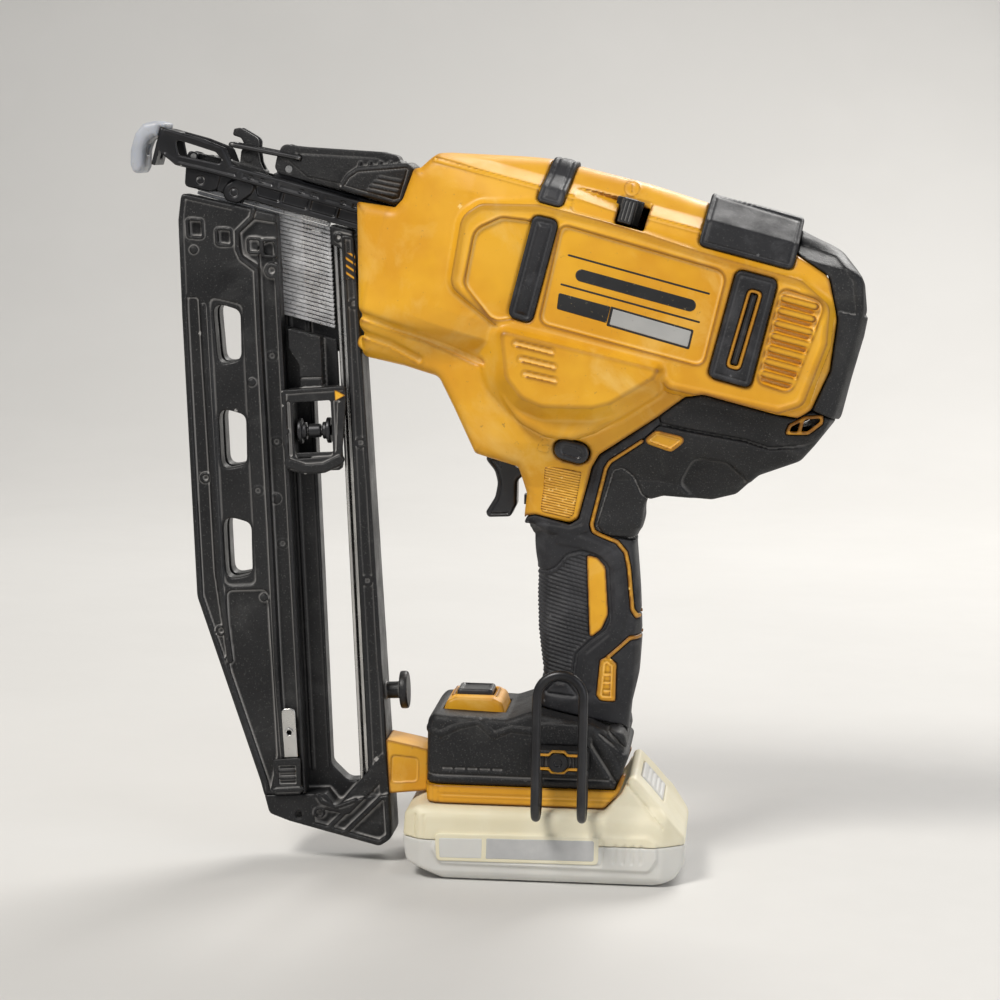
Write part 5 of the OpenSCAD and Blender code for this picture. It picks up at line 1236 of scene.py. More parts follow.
def latch_lever():
    """Lever over the door, with the thumb pad."""
    g = mirror(Grid((-121, -13.8, 3.8), (-58.8, 13.8, 26), 0.42))
    cheeks = smax(smax(g.side_of([(-118, 7, 2), (-118.2, 12.5, 3), (-115.4, 17.2, 3), (-108, 18.2, 2),
                                  (-76, 24.4, 2), (-70, 23, 2), (-70, 5.4, 1), (-88, 5.0, 2), (-104, 4.9, 2),
                                  (-116, 4.9, 2)]), within(g.y - 5.2, 1.1), 0.4), -g.y)
    roof = prism(g, [(-115, 16.8, 1), (-108, 18.2, 1), (-76, 24.7, 1), (-69.4, 24.8, 1.5), (-66.4, 21.4, 1),
                     (-76, 22.2, 1), (-107.6, 16.1, 1), (-114, 14.9, 1)], -6.2, 6.2, 0.6)
    f = smin(cheeks, roof, 0.5)
    f = smin(f, smax(smax(g.side_of([(-116.8, 13.4, 2), (-109.6, 14.6, 2), (-76, 21.6, 2), (-76, 8.2, 2),
                                     (-96, 7.6, 3), (-103.6, 7.0, 2)]),
                          within(g.y - 6.2, 0.5), 0.2), -g.y), 0.4)
    f = smin(f, smax(g.ycyl(-114.4, 14.4, 3.2), within(g.y - 5.5, 1.3), 0.6), 0.4)
    pad_side = g.side_of([(-89.8, 5.4, 2), (-87.6, 12.2, 4), (-84.2, 16.2, 4), (-64, 23.4, 3),
                          (-60.9, 22.0, 1.5), (-61.4, 7.4, 3), (-65, 5.0, 2)])
    pad = smax(pad_side, g.slab(-13, 13), 1.6)
    pad = cut(pad, smax(within(pad_side + 2.2, 0.3), 12.5 - g.y), 0.4)
    f = smin(f, pad, 0.8)
    for a, b in (((-73.6, 14.6), (-64.6, 15.2)), ((-75.0, 12.4), (-64.9, 13.0)),
                 ((-76.2, 10.2), (-65.0, 10.9)), ((-77, 8.2), (-66, 8.9))):
        f = smin(f, smax(smax(g.line([a, b]) - 0.55, g.y - 13.5, 0.3), 11 - g.y), 0.3)
    for k in range(5):
        rib = block(g, (-84.2 + 4 * k, -10, 15.4 + 1.12 * k), (-82.8 + 4 * k, 10, 18.6 + 1.12 * k), 0.4)
        f = smin(f, rib, 0.5)
    f = cut(f, g.ycyl(-112, 7.8, 1.52))
    f = cut(f, g.ycyl(-109, 13.4, 1.17))
    f = cut(f, block(g, (-92, -4.1, 0), (-58, 4.1, 16)))
    return skin("latch_handle", g, f, "latch_lever", BLACK, ("latch_lever",), fold=drv_fold)


def bail():
    """Bent wire from the latch lever round the hooks of the door."""
    pivot_u, pivot_w, reach, half = -109, 13.4, 29, 7.2
    a = math.radians(-94)
    du, dw = math.sin(a), math.cos(a)
    arm = [(pivot_u, 4.2, pivot_w)] + [(pivot_u + d * du, half, pivot_w + d * dw) for d in (0, 2, reach)]
    pts = [drv_pt(u, -y, w) for u, y, w in arm] + [drv_pt(*p) for p in reversed(arm)]
    fine = []
    for p, q in zip(pts[:-1], pts[1:]):
        p, q = np.array(p), np.array(q)
        steps = max(2, int(np.linalg.norm(q - p) / 2.2))
        fine += [p + (q - p) * i / steps for i in range(steps)]
    fine.append(np.array(pts[-1]))
    tube("bail_wire", fine, 1.1, "wire_bail", DARK_STEEL, ("wire_bail",), rounds=2)


nosepiece()
nose_door()
contact_trip()
tip()
latch_lever()
bail()


# ---------------------------------------------------------------- foot, hook and battery pack

# screw of the belt hook, through the foot
HOOK_X, HOOK_Z = 12.4, 52.7
RING_SIDE = [(-44, 39, 0), (35.5, 39, 0), (40.6, 52.5, 0), (42.2, 52.5, 0.5), (37.2, 38.2, 3), (31, 31.4, 2),
             (-43, 31.4, 1)]


def sym_plan(g, half):
    """Outline in (x, y), from its +y half."""
    pts = corner_arcs(mirrored(half), 6)
    X, Y = np.meshgrid(g.ax[0], g.ax[1], indexing="ij")
    Y = np.abs(Y)
    return poly_sd(pts, X, Y)[:, :, None]


def foot_cover():
    """Black foot under the grip."""
    g = mirror(Grid((-45.2, -33, 38.6), (42, 33, 72.4), 0.5))
    side = g.side_of(FOOT_SIDE, 8)
    plan = sym_plan(g, FOOT_PLAN)
    form = smax(side, plan, 3.4)
    f = form
    # a skirt line round the foot, then a raised panel and soft folds towards the heel
    f = cut(f, smax(smax(flat(np.abs(g.Z - 43.2)) - 0.45, -(form + 0.7)), flat(g.X - 33)), 0.6)
    chev = g.line([(-44, 62.0), (-37.2, 60.6), (-29.4, 64.4), (-21.6, 66.4), (-15.2, 60.6), (-8.2, 63.6),
                   (-0.4, 63.0), (3, 62)])
    f = smin(f, smax(chev - 0.9, form - 0.5, 0.6), 1.0)
    for a, b, c in (((24.2, 64.6), (30.0, 61.2), (38.2, 55.2)), ((25.0, 58.2), (30.8, 49.4), (35.0, 42.6)),
                    ((28.6, 66.6), (35.2, 60.4), (40.0, 55.0))):
        f = cut(f, smax(g.line([a, b, c]) - 0.5, -(form + 0.9)), 1.6)
    f = smin(f, smax(g.line([(22.4, 69.4), (27.6, 60.6), (33.2, 52.2), (37.0, 45)]) - 1.2, form - 0.45, 0.8),
             1.4)
    pad = g.side_of([(2.2, 57, 1), (2.2, 66.6, 4), (24.8, 66.6, 4), (24.8, 57, 1)])
    f = smin(f, smax(smax(pad, form - 0.6, 0.8), 20 - g.y), 0.8)
    channel = g.side_of([(2.6, 57.4, 2), (24.6, 57.4, 2), (24.6, 47.6, 2), (2.6, 47.6, 2)])
    f = cut(f, smax(channel - 0.3, 30.7 - g.y), 0.4)
    for k in range(5):
        x = -36 + 5.2 * k
        f = cut(f, smax(g.line([(x, 46.2), (x + 3.4, 46.2)]) - 0.5, -(form + 0.6)), 0.4)
    f = smax(f, -(form + WALL))
    f = smax(f, 39.15 - flat(g.Z))
    f = cut(f, smax(g.side_of(GRIP_SIDE) - 0.3, sym_plan(g, GRIP_PLAN) - 0.3), 0.4)
    f = cut(f, prism(g, [(-39.7, 61, 0), (-36.8, 74, 0), (-13.5, 74, 0), (-10.3, 61, 0)], -15.2, 15.2), 0.3)
    left = smax(g.ycyl(HOOK_X, HOOK_Z, 2.3), g.raw)
    right = smax(g.ycyl(HOOK_X, HOOK_Z, 4.25), -g.raw)
    f = cut(f, smin(left, right))
    return skin("foot_shell", g, f, "tool", BLACK, ("foot_cover",))


def hook_outline():
    """Yellow border round the hook clamp and the wavy lines on it."""
    g = mirror(Grid((0, -33, 45), (27, 33, 60), 0.34))
    ring = within(g.side_of([(3.0, 57.8, 2), (24.4, 57.8, 2), (24.4, 47.2, 2), (3.0, 47.2, 2)]) - 0.9, 0.75)
    f = smax(smax(ring, g.slab(-32.2, 32.2), 0.3), 30.4 - g.raw)
    skin("hook_border", g, f, "tool", YELLOW)
    g = Grid((3, -43, 46), (22, -40, 60), 0.24)
    wave = [(4.6, 2.9), (8.6, 2.9), (9.9, 4.3), (14.9, 4.3), (16.2, 2.9), (20.2, 2.9)]
    f = smin(g.line([(x, HOOK_Z + z) for x, z in wave]), g.line([(x, HOOK_Z - z) for x, z in wave])) - 0.55
    f = smax(f, g.slab(-42.3, -40.8), 0.3)
    skin("hook_lines", g, f, "tool", YELLOW)


def foot_ring():
    """Yellow ring that the foot stands in."""
    g = mirror(Grid((-44.6, -31.8, 30.8), (42.8, 31.8, 53.2), 0.5))
    plan = sym_plan(g, FOOT_PLAN)
    f = smax(g.side_of(RING_SIDE), plan, 0.8)
    f = cut(f, smax(flat(np.abs(g.Z - 35.0)) - 0.3, 30.6 - g.y), 0.3)
    f = cut(f, block(g, (-41, -25.2, 36.8), (60, 25.2, 60), 0.3), 0.3)
    f = cut(f, block(g, (-41, -20.6, 20), (60, 20.6, 60), 0.3), 0.3)
    f = smax(f, flat(g.Z - 45.8), 0.8)
    return skin("base_ring", g, f, "tool", YELLOW, ("foot_base_ring",))


def link():
    """Yellow bridge from the foot to the end of the magazine."""
    g = mirror(Grid((-67, -11.8, 28.6), (-43.6, 11.8, 54.8), 0.4))
    f = prism(g, [(-66, 54, 1), (-49, 50.8, 2.5), (-44.4, 49.6, 0), (-44.4, 32, 0), (-66, 29.5, 1)], -11, 11,
              0.9)
    # room for the magazine, whose outline is in its own frame
    p = (MAG_COS * (g.X - MAG_X) + MAG_SIN * (g.Z - MAG_Z)).astype(np.float32)
    q = (-MAG_SIN * (g.X - MAG_X) + MAG_COS * (g.Z - MAG_Z)).astype(np.float32)
    f = cut(f, flat(poly_sd(corner_arcs(MAG_SIDE, 4), p, q)) - 0.05)
    f = cut(f, smax(g.side_of([(-60, 46.6, 1.5), (-49, 45.6, 1.5), (-49, 36, 1.5), (-60, 35, 1.5)]),
                    10.5 - g.y, 0.2), 0.4)
    return skin("link_bridge", g, f, "tool", YELLOW, ("link_block",))


def bezel_and_button():
    """Yellow bezel on the foot and the mode button in it."""
    g = mirror(Grid((-40.6, -15.8, 64.6), (-9.4, 15.8, 74.8), 0.36))
    side = g.side_of([(-39.5, 62, 0), (-36.8, 71.3, 3), (-33, 73.2, 3), (-17, 73.2, 3), (-13.5, 71.5, 3),
                      (-10.5, 62, 0)])
    f = smax(side, g.slab(-15, 15), 1.8)
    f = smax(f, flat(65.5 - g.Z))
    notch = g.side_of([(-27.4, 60, 0), (-21.6, 66.2, 1), (-16.0, 60, 0)])
    f = cut(f, smax(notch, 13.6 - g.y), 0.5)
    well = block(g, (-33.35, -8.35, 60), (-17.65, 8.35, 80), 0.8)
    f = cut(f, well, 0.5)
    f = smin(f, smax(smax(within(well - 1.1, 0.6), flat(g.Z - 73.6), 0.4), flat(70 - g.Z)), 0.4)
    skin("bezel_top", g, f, "tool", YELLOW, ("mode_bezel",))
    g = mirror(Grid((-34, -9, 62), (-17, 9, 76.6), 0.34))
    f = block(g, (-33, -8, 66.5), (-18, 8, 75.6), 1.4)
    f = smin(f, block(g, (-31, -6, 62.5), (-20, 6, 66.6)), 0.3)
    f = cut(f, block(g, (-31.2, -6.2, 75.0), (-19.8, 6.2, 78), 0.6), 0.7)
    skin("mode_key", g, f, "mode_button", BUTTON, ("mode_button",))


def hook():
    """Belt hook: bent wire, clamp and screw."""
    wire, middle, half = 1.9, 13.6, 9.4

    def arm(s):
        x = middle + half * s
        out = [(x, -41, 48.5), (x, -41, 44), (x, -41, 38)]
        out += [(x, -48 + 7 * math.cos(a),
                 38 - 7 * math.sin(a)) for a in np.linspace(0.12, math.pi - 0.12, 12)]
        out += [(x, -55, 38 + k) for k in (0, 8, 20, 32, 44)]
        return out
    pts = arm(-1)
    pts += [(middle - half * math.cos(a), -55,
             82 + half * math.sin(a)) for a in np.linspace(0.12, math.pi - 0.12, 14)]
    pts += arm(1)[::-1]
    tube("hook_wire", pts, wire, "tool", DARK_STEEL, n=18, rounds=1)
    g = Grid((1.6, -42.6, 46.6), (25.6, -30.6, 58.4), 0.32)
    side = g.side_of([(2.5, 57.5, 2), (24.7, 57.5, 2), (24.7, 47.5, 2), (2.5, 47.5, 2)])
    f = smax(side, g.slab(-41.8, -31.2), 0.6)
    f = cut(f, smax(side + 1.6, g.y + 40.6, 0.4), 0.5)
    f = smin(f, smax(smax(g.ycyl(HOOK_X, HOOK_Z, 4.6), -41.4 - g.y, 0.4), g.y + 39), 0.4)
    for x in (6.0, 19.6):
        f = smin(f, smax(smax(g.line([(x, 50.2), (x, 55.0)]) - 0.7, -41.3 - g.y, 0.3), g.y + 39), 0.3)
    f = cut(f, g.ycyl(HOOK_X, HOOK_Z, 2.3), 0.2)
    skin("hook_clamp", g, f, "tool", BLACK, ("belt_hook",))
    g = Grid((7.6, -44.8, 47.8), (17.2, -20.2, 57.6), 0.3)
    f = smax(smax(g.ycyl(HOOK_X, HOOK_Z, 4.0), g.slab(-44, -41.8)), -44 - g.y, 0.8)
    f = smax(f, smax(g.ycyl(HOOK_X, HOOK_Z, 4.0), g.slab(-44, -41.8), 0.9))
    f = smin(f, smax(g.ycyl(HOOK_X, HOOK_Z, 2.0), g.slab(-42, -21), 0.4))
    a = np.arctan2(g.Z - HOOK_Z, g.X - HOOK_X)
    rr = np.hypot(g.X - HOOK_X, g.Z - HOOK_Z)
    hexa = flat(rr * np.cos((a % (math.pi / 3)) - math.pi / 6) - 1.45)
    f = cut(f, smax(hexa, g.y + 42.6), 0.2)
    skin("hook_bolt", g, f, "tool", DARK_STEEL, ("belt_hook_screw",))


# the pack's two shells meet at this height; its release button leans on the rear slope
PACK_SEAM = 17
RELEASE_X, RELEASE_Z, RELEASE_LEAN = 46.7, 35.4, math.radians(48)
PACK_SIDE = [(-52, 27, 3), (-46, 30.9, 3), (31.3, 30.9, 2), (37.9, 37.8, 3), (41.2, 44.4, 1), (43.6, 44.9, 2),
             (50, 38.2, 4), (57, 30, 4), (65, 19.5, 5), (65, 9, 5), (61, 3, 4), (52, 0, 4), (-35, 0, 4),
             (-44, 4.5, 3), (-51, 6.5, 3), (-53, 14, 3)]
PACK_PLAN = [(-53.5, 29, 5), (-44, 37, 6), (54, 37, 8), (65.5, 28, 6)]
PACK_SECTION = [(29, 56, 3), (32, 33, 2), (37, 27, 5), (37, 4, 3), (34, 0, 2)]


def pack_form(g):
    """The whole pack."""
    plan = sym_plan(g, PACK_PLAN)
    Y, Z = np.meshgrid(g.ax[1], g.ax[2], indexing="ij")
    section = poly_sd(corner_arcs(both(PACK_SECTION), 5), np.abs(Y), Z)[None, :, :]
    return smax(smax(g.side_of(PACK_SIDE), plan, 1.6), section, 2.2)


PACK_PANEL = [(-40.1, 13.4, 2), (-36.6, 19.6, 2), (49.6, 21.5, 3), (53.2, 19.0, 2), (53.6, 11.9, 2),
              (50.4, 6.8, 3), (-36.2, 7.4, 2)]
PACK_LABEL = [(-38.2, 13.4, 1.5), (-35.6, 18.2, 1), (31.2, 19.6, 1), (31.0, 9.0, 1), (-35.6, 8.6, 1)]


def pack():
    """Upper and lower shell of the pack."""
    for name, z0, z1, mat, slot, node in (("pack_top", 16.0, 54.6, CREAM, "pack_cream", "battery_upper"),
                                          ("pack_base", -0.6, 18.0, GREY, "pack_grey", "battery_lower")):
        g = mirror(Grid((-54.4, -38.2, z0), (66.6, 38.2, z1), 0.62))
        Z = flat(g.Z)
        f = pack_form(g)
        form = f
        panel = smax(g.side_of(PACK_PANEL), g.y - 37.6, 0.9)
        f = smin(f, smax(panel, 33 - g.y), 1.2)
        f = cut(f, smax(within(g.side_of(PACK_LABEL), 0.45), 37.15 - g.y), 0.4)
        for x in (-17.5, 30.8):
            f = cut(f, smax(g.line([(x, 9.2), (x, 18.6)]) - 0.35, 37.2 - g.y), 0.4)
        for k in range(4):
            x = 36 + 3.6 * k
            f = cut(f, smax(g.line([(x, 10.5), (x + 0.4, 17.6)]) - 0.55, 37.0 - g.y), 0.4)
        f = smax(f, -(form + 2.4))
        if name == "pack_top":
            f = smax(f, PACK_SEAM + 0.12 - Z, 0.3)
            head = smin(block(g, (-39, -20, 30), (34, 20, 37.4), 0.5),
                        block(g, (-39, -24.7, 37.2), (36, 24.7, 41.2), 0.5))
            f = smin(f, head, 0.3)
            for k in range(-2, 3):
                f = cut(f, smax(smax(within(g.raw - 5 * k, 1.1), flat(np.maximum(-40 - g.X, g.X + 8))),
                                smax(34 - Z, Z - 42)).astype(np.float32))
            # the release button's pocket: a runs down the slope and c stands on it
            dx, dz = g.X - RELEASE_X, g.Z - RELEASE_Z
            a = flat(dx * math.cos(RELEASE_LEAN) - dz * math.sin(RELEASE_LEAN))
            c = flat(dx * math.sin(RELEASE_LEAN) + dz * math.cos(RELEASE_LEAN))
            pocket = np.maximum(np.maximum(within(a - 1, 7.2), g.y - 15.3), np.maximum(-4 - c, c - 12))
            f = cut(f, pocket, 0.4)
            f = cut(f, smax(smax(within(c + 0.4, 0.4), -(form + 0.7)), smax(within(a - 1, 13), 19 - g.y)),
                    0.5)
            for x in (-46.8, -43.4):
                f = cut(f, smax(g.line([(x, 18), (x, 27)]) - 0.4, -(form + 0.6)), 0.4)
        else:
            f = smax(f, Z - PACK_SEAM + 0.12, 0.3)
            for x, y in ((-44, 28), (46, 28)):
                f = cut(f, smax(zcyl(g, x, y, 2.6), Z - 2.2), 0.3)
            f = cut(f, smax(smax(flat(np.abs(g.X - 3)) - 26, g.y - 15, 1), Z - 0.5), 0.3)
        skin(name, g, f, "battery", mat, (node,))


def pack_plates():
    """Blank two-tone label on the pack's side."""
    for name, pts, y1, look, slot in (
            ("pack_plate_edge", [(-38.4, 20.2, 2), (29.6, 21.0, 2), (29.4, 9.2, 2), (-37.6, 8.6, 2)], 37.86,
             CREAM, "pack_cream"),
            ("pack_plate_left", [(-36.8, 18.4, 1), (-18.6, 18.7, 0.5), (-18.8, 10.2, 0.5), (-36.4, 9.9, 1)],
             37.96, GREY, "pack_grey"),
            ("pack_plate_main", [(-17.0, 18.9, 0.5), (27.8, 19.5, 1), (27.7, 10.6, 1), (-17.2, 10.1, 0.5)],
             37.96, PLATE, "pack_grey")):
        a = np.array([p[:2] for p in pts])
        lo, hi = a.min(0) - 0.8, a.max(0) + 0.8
        g = Grid((lo[0], -y1 - 0.6, lo[1]), (hi[0], -36.6, hi[1]), 0.28)
        f = smax(smax(g.side_of(pts), -y1 - g.y, 0.15), g.y + 37.1)
        skin(name, g, f, "battery", look)


def release():
    """Button on the slope of the pack, made upright and then leant over."""
    g = Grid((-6.6, -15.4, -2.2), (8.6, 15.4, 5.4), 0.36)
    f = block(g, (-5.8, -14.8, -1.5), (7.8, 14.8, 4.6), 1.2)
    for k in range(4):
        x = -2.6 + 2.6 * k
        f = cut(f, smax(flat(np.hypot((g.X - x), g.Z - 5.0)) - 0.8, within(g.y, 12)), 0.3)
    c, s = math.cos(RELEASE_LEAN), math.sin(RELEASE_LEAN)

    def fold(p):
        return np.stack([RELEASE_X + p[:, 0] * c + p[:, 2] * s, p[:, 1],
                         RELEASE_Z - p[:, 0] * s + p[:, 2] * c], 1)
    skin("release_key", g, f, "battery_release", GREY, ("battery_release",), fold=fold)


foot_cover()
hook_outline()
foot_ring()
link()
bezel_and_button()
hook()
pack()
pack_plates()
release()


# ---------------------------------------------------------------- trigger, buttons, bumpers and labels

def trigger():
    """Trigger blade with its ribs and pin hole."""
    g = mirror(Grid((-25.6, -7.2, 147.2), (-3.4, 7.2, 176.6), 0.34))
    side = g.side_of([(-24, 174, 2), (-13, 175.5, 2), (-4.5, 175.5, 2), (-4.8, 168, 2), (-9.5, 164, 3),
                      (-9.5, 154, 3), (-12, 148.8, 2), (-21.5, 148.3, 2), (-22.5, 150.5, 1.5),
                      (-18.6, 157, 8), (-17.6, 163, 8), (-19, 168, 6)], 9)
    f = smax(side, g.slab(-6.4, 6.4), 2.2)
    face = within(side + 1.6, 0.3)
    f = cut(f, smax(smax(face, 5.6 - g.y), flat(g.X + 13)), 0.5)
    for z in (154, 157, 160, 163, 166):
        f = cut(f, smax(g.line([(-22, z), (-16.8, z - 0.4)]) - 0.3, g.y - 4.2), 0.4)
    f = cut(f, g.ycyl(-8.4, 171.8, 1.55))
    f = cut(f, block(g, (-12.6, -3.4, 167.6), (-3, 3.4, 177)))
    skin("trigger_blade", g, f, "trigger", BUTTON, ("trigger",))


def lock_button():
    """Lock-off button through the neck."""
    g = mirror(Grid((6.4, -29.4, 174.2), (22.4, 29.4, 184.4), 0.36))
    side = g.line([(11.5, 180.08), (17.3, 178.52)]) - 4.2
    f = smax(side, g.slab(-28.8, 28.8), 1.3)
    f = cut(f, smax(g.line([(12.2, 179.9), (16.6, 178.7)]) - 1.9, 28.2 - g.y, 0.3), 0.8)
    skin("lock_key", g, f, "lock_off", BUTTON, ("lock_off_button",))


def stall_knob():
    """Knob of the stall lever on the shoulder."""
    g = Grid((23, -33.4, 21.6), (35.6, -19.4, 36.6), 0.3)
    f = block(g, (26.2, -32.6, 23.4), (31.9, -20, 33.6), 0.5)
    f = smax(f, ((-g.y - 30.6) * 0.88 + flat(g.Z - 26.6) * 0.47).astype(np.float32), 0.6)
    f = smin(f, block(g, (23.6, -22.4, 22.8), (34.8, -20, 33.4), 0.4), 0.3)
    for u in (27.6, 29.1, 30.6):
        f = cut(f, smax(block(g, (u - 0.3, -34, 24.6), (u + 0.3, -21.6, 32.4)), -(f + 0.5)), 0.2)
    skin("stall_knob", g, f, "stall_lever", BLACK, ("stall_lever",), fold=drv_fold)


def top_straps():
    """Rubber strap and rear bumper over the top edge."""
    g = mirror(Grid((-3, -37, 276), (17, 37, 304), 0.5))
    base = body_form(g)
    side = g.side_of(STRAP)
    f = smax(smax(side, base - 1.8, 1.6), -(base + 0.9))
    f = cut(f, smax(within(side + 2.2, 0.3), -(base - 1.3)), 0.9)
    skin("strap_rubber", g, f, "tool", RUBBER, ("top_strap",))
    g = mirror(Grid((62, -36, 250), (109, 36, 290), 0.5))
    base = body_form(g)
    side = g.side_of(REAR_BLOCK)
    shape = g.section([(10, 43.9, 2.5), (29.5, 33.8, 2.5), (34.9, 24.2, 2.5), (34.9, 4, 0)], g.w)
    f = smax(smax(smax(side, shape, 1.3), base - 5.2), -(base + 1.3))
    f = cut(f, smax(within(side + 1.9, 0.3), -(shape + 0.5)), 0.9)
    skin("rear_bumper", g, f, "tool", RUBBER, ("top_rear_bumper",))


def side_bumpers():
    """Rubber strip and frame on both side panels, and the frame's yellow lining."""
    g = mirror(Grid((-13.6, -39.8, 230), (97.8, 39.8, 277.6), 0.5))
    strip = g.side_of(STRIP, 7)
    f = smax(smax(strip, g.y - 38.3, 1.0), 34.9 - g.y)
    f = cut(f, smax(within(strip + 2.1, 0.4), 37.7 - g.y), 0.9)
    f = smin(f, smax(smax(strip + 3.4, g.y - 38.9, 0.8), 36 - g.y), 0.5)
    skin("side_strip", g, f, "tool", RUBBER, ("side_strips",))
    g = mirror(Grid((67, -40, 205), (98, 40, 258), 0.42))
    side = g.side_of(FRAME, 7)
    slot = g.side_of(FRAME_SLOT, 7)
    f = smax(smax(side, g.y - 39.3, 1.5), 34.5 - g.y)
    f = cut(f, smax(within(side + 2.0, 0.35), 38.8 - g.y), 0.9)
    f = cut(f, slot - 0.5, 0.8)
    f = smin(f, smax(smax(slot + 1.5, g.y - 37.4, 0.5), 34.6 - g.y))
    f = smin(f, smax(smax(side + 2, g.slab(34.6, 35.6)), 34.6 - g.y))
    f = cut(f, smax(g.line([(87.2, 246.4), (79.6, 217.2)]) - 0.45, 36.8 - g.y), 0.3)
    skin("bumper_frame", g, f, "tool", RUBBER, ("bumper_frames",))
    f = smax(smax(within(slot + 0.35, 0.75), g.y - 38.4, 0.4), 35.7 - g.y)
    skin("bumper_lining", g, f, "tool", YELLOW)


def labels():
    """Plain bands where the tool carries its plates, without lettering."""
    def slim(name, a, b, half, y1, mat):
        a, b = np.array(a, float), np.array(b, float)
        lo = np.minimum(a, b) - half - 0.6
        hi = np.maximum(a, b) + half + 0.6
        g = Grid((lo[0], -y1 - 0.5, lo[1]), (hi[0], -35.6, hi[1]), 0.24)
        f = smax(smax(g.line([a, b]) - half, -y1 - g.y, 0.15), g.y + 36.0)
        skin(name, g, f, "tool", mat)
    slim("label_line_a", (12.2, 259.7), (69.0, 245.4), 0.42, 36.62, INK)
    slim("label_line_b", (9.5, 247.9), (65.3, 233.9), 0.42, 36.62, INK)
    slim("label_bar", (17.6, 251.6), (61.4, 240.6), 2.5, 36.66, INK)
    for name, pts, mat, slot, y1 in (
            ("label_band_dark", [(8.5, 244.5, 0.8), (29.6, 239.3, 0.3), (28.0, 232.7, 0.3),
                                 (7.8, 237.9, 0.8)], INK, "magazine_black", 36.66),
            ("label_band_edge", [(29.7, 239.5, 0.3), (63.3, 230.7, 0.8), (61.6, 222.7, 0.8),
                                 (28.0, 231.6, 0.3)], INK, "magazine_black", 36.62),
            ("label_band_pale", [(30.6, 238.5, 0.3), (62.4, 230.2, 0.6), (61.0, 223.7, 0.6),
                                 (29.2, 232.1, 0.3)], SILVER, "pack_grey", 36.74)):
        a = np.array([p[:2] for p in pts])
        lo, hi = a.min(0) - 0.7, a.max(0) + 0.7
        g = Grid((lo[0], -y1 - 0.5, lo[1]), (hi[0], -35.6, hi[1]), 0.24)
        f = smax(smax(g.side_of(pts), -y1 - g.y, 0.12), g.y + 36.0)
        skin(name, g, f, "tool", mat)


def case_screws():
    """Heads and shanks of the case screws, deep in their bores on the right side."""
    for i, (x, z, h) in enumerate(SCREWS):
        g = Grid((x - 3.6, -14.6, z - 3.6), (x + 3.6, h + 2.9, z + 3.6), 0.3)
        f = smin(smax(g.ycyl(x, z, 3.0), g.slab(h, h + 2.2), 0.5),
                 smax(g.ycyl(x, z, 1.4), g.slab(-14, h + 1), 0.3))
        a = np.arctan2(g.Z - z, g.X - x)
        star = flat(np.hypot(g.X - x, g.Z - z) - 1.25 - 0.22 * np.cos(6 * a))
        f = cut(f, smax(star, h + 1.0 - g.y), 0.15)
        skin("case_screw_%d" % i, g, f, "tool", DARK_STEEL,
             ("housing_screws",) if i == 0 else ())


def spring(name, u0, u1, y, w, radius, wire, turns, nodes=()):
    """A coil along the drive line, with a mesh of its own."""
    a = np.linspace(0, turns * 2 * math.pi, turns * 16 + 1)
    u = u0 + wire + (u1 - u0 - 2 * wire) * a / a[-1]
    pts = drv_fold(np.stack([u, y + radius * np.sin(a), w + radius * np.cos(a)], 1))
    ob = tube(name, pts, wire, "tool", SPRING, nodes, n=8, rounds=0)
    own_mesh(ob)


trigger()
lock_button()
stall_knob()
top_straps()
side_bumpers()
labels()
case_screws()
spring("return_spring_left", -49.4, 65.8, -15, 6, 3.8, 0.6, 30,
       ("return_springs",))
spring("return_spring_right", -49.4, 65.8, 15, 6, 3.8, 0.6, 30)
spring("trip_coil", -69.9, -54.2, 10.6, 0.5, 2.6, 0.45, 7,
       ("trip_spring",))


# ---------------------------------------------------------------- camera, floor and light

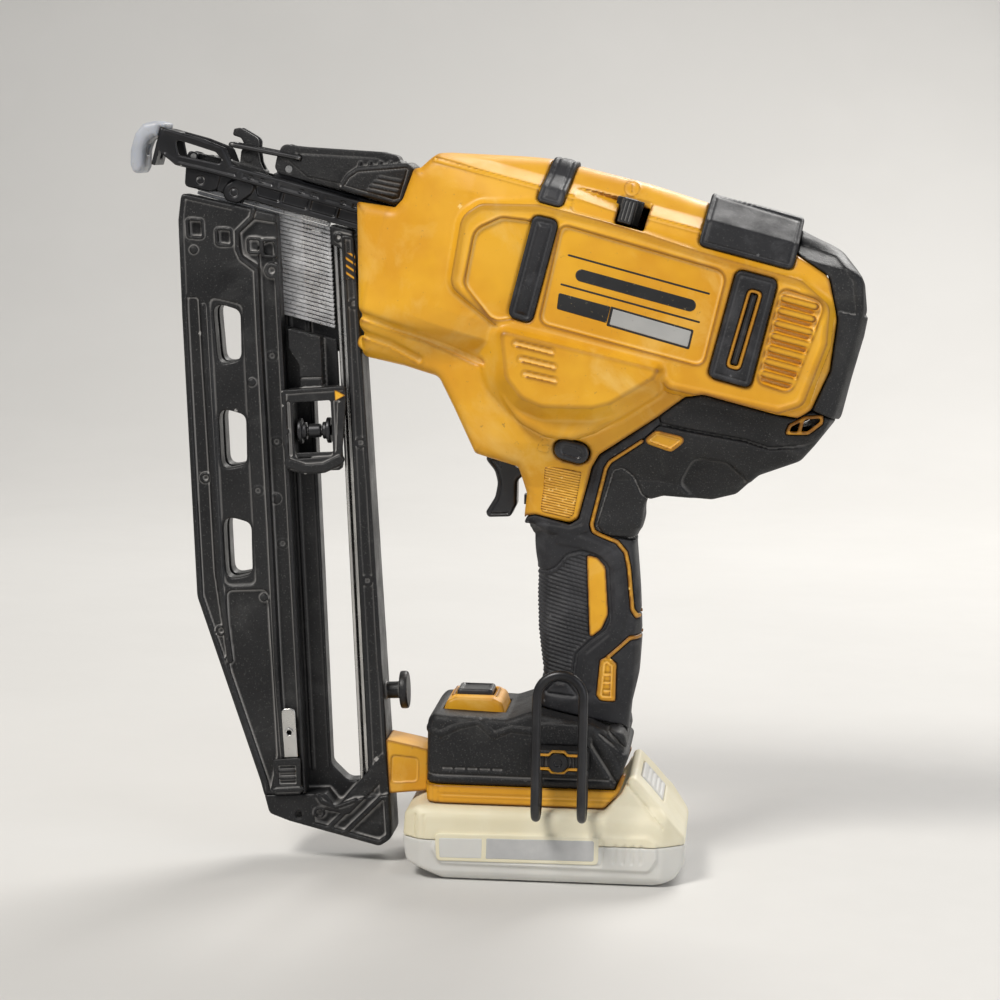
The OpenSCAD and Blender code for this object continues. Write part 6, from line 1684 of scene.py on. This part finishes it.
def studio():
    """Camera, floor, sky and three lamps."""
    cam = bpy.data.cameras.new("camera")
    cam.lens = 107.14
    cam.sensor_width = 36
    cam.clip_start, cam.clip_end = 0.05, 20
    ob = bpy.data.objects.new("camera", cam)
    az, el, roll = map(math.radians, (5.0, 7.0, 1.0))
    distance = 1.25
    back = np.array([math.sin(az) * math.cos(el), -math.cos(az) * math.cos(el), math.sin(el)])
    right = np.array([math.cos(az), math.sin(az), 0.0])
    up = np.cross(back, right)
    r = right * math.cos(roll) + up * math.sin(roll)
    u = -right * math.sin(roll) + up * math.cos(roll)
    pos = np.array([-0.017, 0.0, 0.15508]) + back * distance
    ob.matrix_world = Matrix([(r[0], u[0], back[0], pos[0]), (r[1], u[1], back[1], pos[1]),
                              (r[2], u[2], back[2], pos[2]), (0, 0, 0, 1)])
    bpy.context.scene.collection.objects.link(ob)
    bpy.context.scene.camera = ob
    # a pale sweep: flat floor that curves up far behind the tool
    bend = np.linspace(0.1, math.pi / 2, 14)
    profile = [(-3.0, 0.0), (1.2, 0.0)] + [(1.2 + 0.8 * math.sin(a), 0.8 - 0.8 * math.cos(a)) for a in bend]
    profile.append((2.0, 3.5))
    verts = [(x, y, z) for y, z in profile for x in (-4.0, 4.0)]
    quads = [(2 * i, 2 * i + 1, 2 * i + 3, 2 * i + 2) for i in range(len(profile) - 1)]
    mesh = bpy.data.meshes.new("floor")
    mesh.from_pydata(verts, [], quads)
    for face in mesh.polygons:
        face.use_smooth = True
    floor = bpy.data.objects.new("floor", mesh)
    bpy.context.scene.collection.objects.link(floor)
    look = finish_look("floor_plain", rgb(0.62, 0.61, 0.59), rgb(0.64, 0.63, 0.61), rough=(0.7, 0.8),
                       mottle=3, grain=(600, 0.02, 0.0001), specular=0.2)
    floor.data.materials.append(look)
    bpy.context.scene.view_settings.view_transform = "Standard"
    world = bpy.data.worlds.new("world")
    bpy.context.scene.world = world
    world.use_nodes = True
    world.node_tree.nodes["Background"].inputs["Color"].default_value = (0.86, 0.88, 0.92, 1)
    world.node_tree.nodes["Background"].inputs["Strength"].default_value = 0.30
    for name, at, size, power, tint in (
            ("key", (-0.8, -1.2, 1.7), 0.6, 34, (1.0, 0.97, 0.92)),
            ("fill", (1.3, -0.9, 0.6), 1.2, 7, (0.95, 0.97, 1.0)),
            ("rim", (0.5, 1.3, 1.3), 0.9, 26, (1.0, 0.98, 0.95))):
        lamp = bpy.data.lights.new(name, "AREA")
        lamp.size, lamp.energy, lamp.color = size, power, tint
        lo = bpy.data.objects.new(name, lamp)
        d = np.array([-0.02, 0, 0.16]) - np.array(at)
        lo.rotation_euler = Vector(d).to_track_quat("-Z", "Y").to_euler()
        lo.location = at
        bpy.context.scene.collection.objects.link(lo)


studio()

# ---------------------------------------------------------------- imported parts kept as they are

NODE_LOOKS = {"yellow_shell": YELLOW, "black_shell": BLACK, "rubber": RUBBER, "magazine_black": SATIN,
              "dark_steel": DARK_STEEL, "bright_steel": STEEL, "nail_steel": NAIL, "spring_steel": SPRING,
              "aluminium": ALLOY, "pale_rubber": PALE, "pack_cream": CREAM, "pack_grey": GREY,
              "copper": COPPER, "cell": CELL, "board": BOARD, "button_black": BUTTON}
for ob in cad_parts.values():
    for i, packed in enumerate(ob.data.materials):
        look = next((NODE_LOOKS[key] for key in NODE_LOOKS if packed and packed.name.startswith(key)), None)
        if look:
            ob.data.materials[i] = look
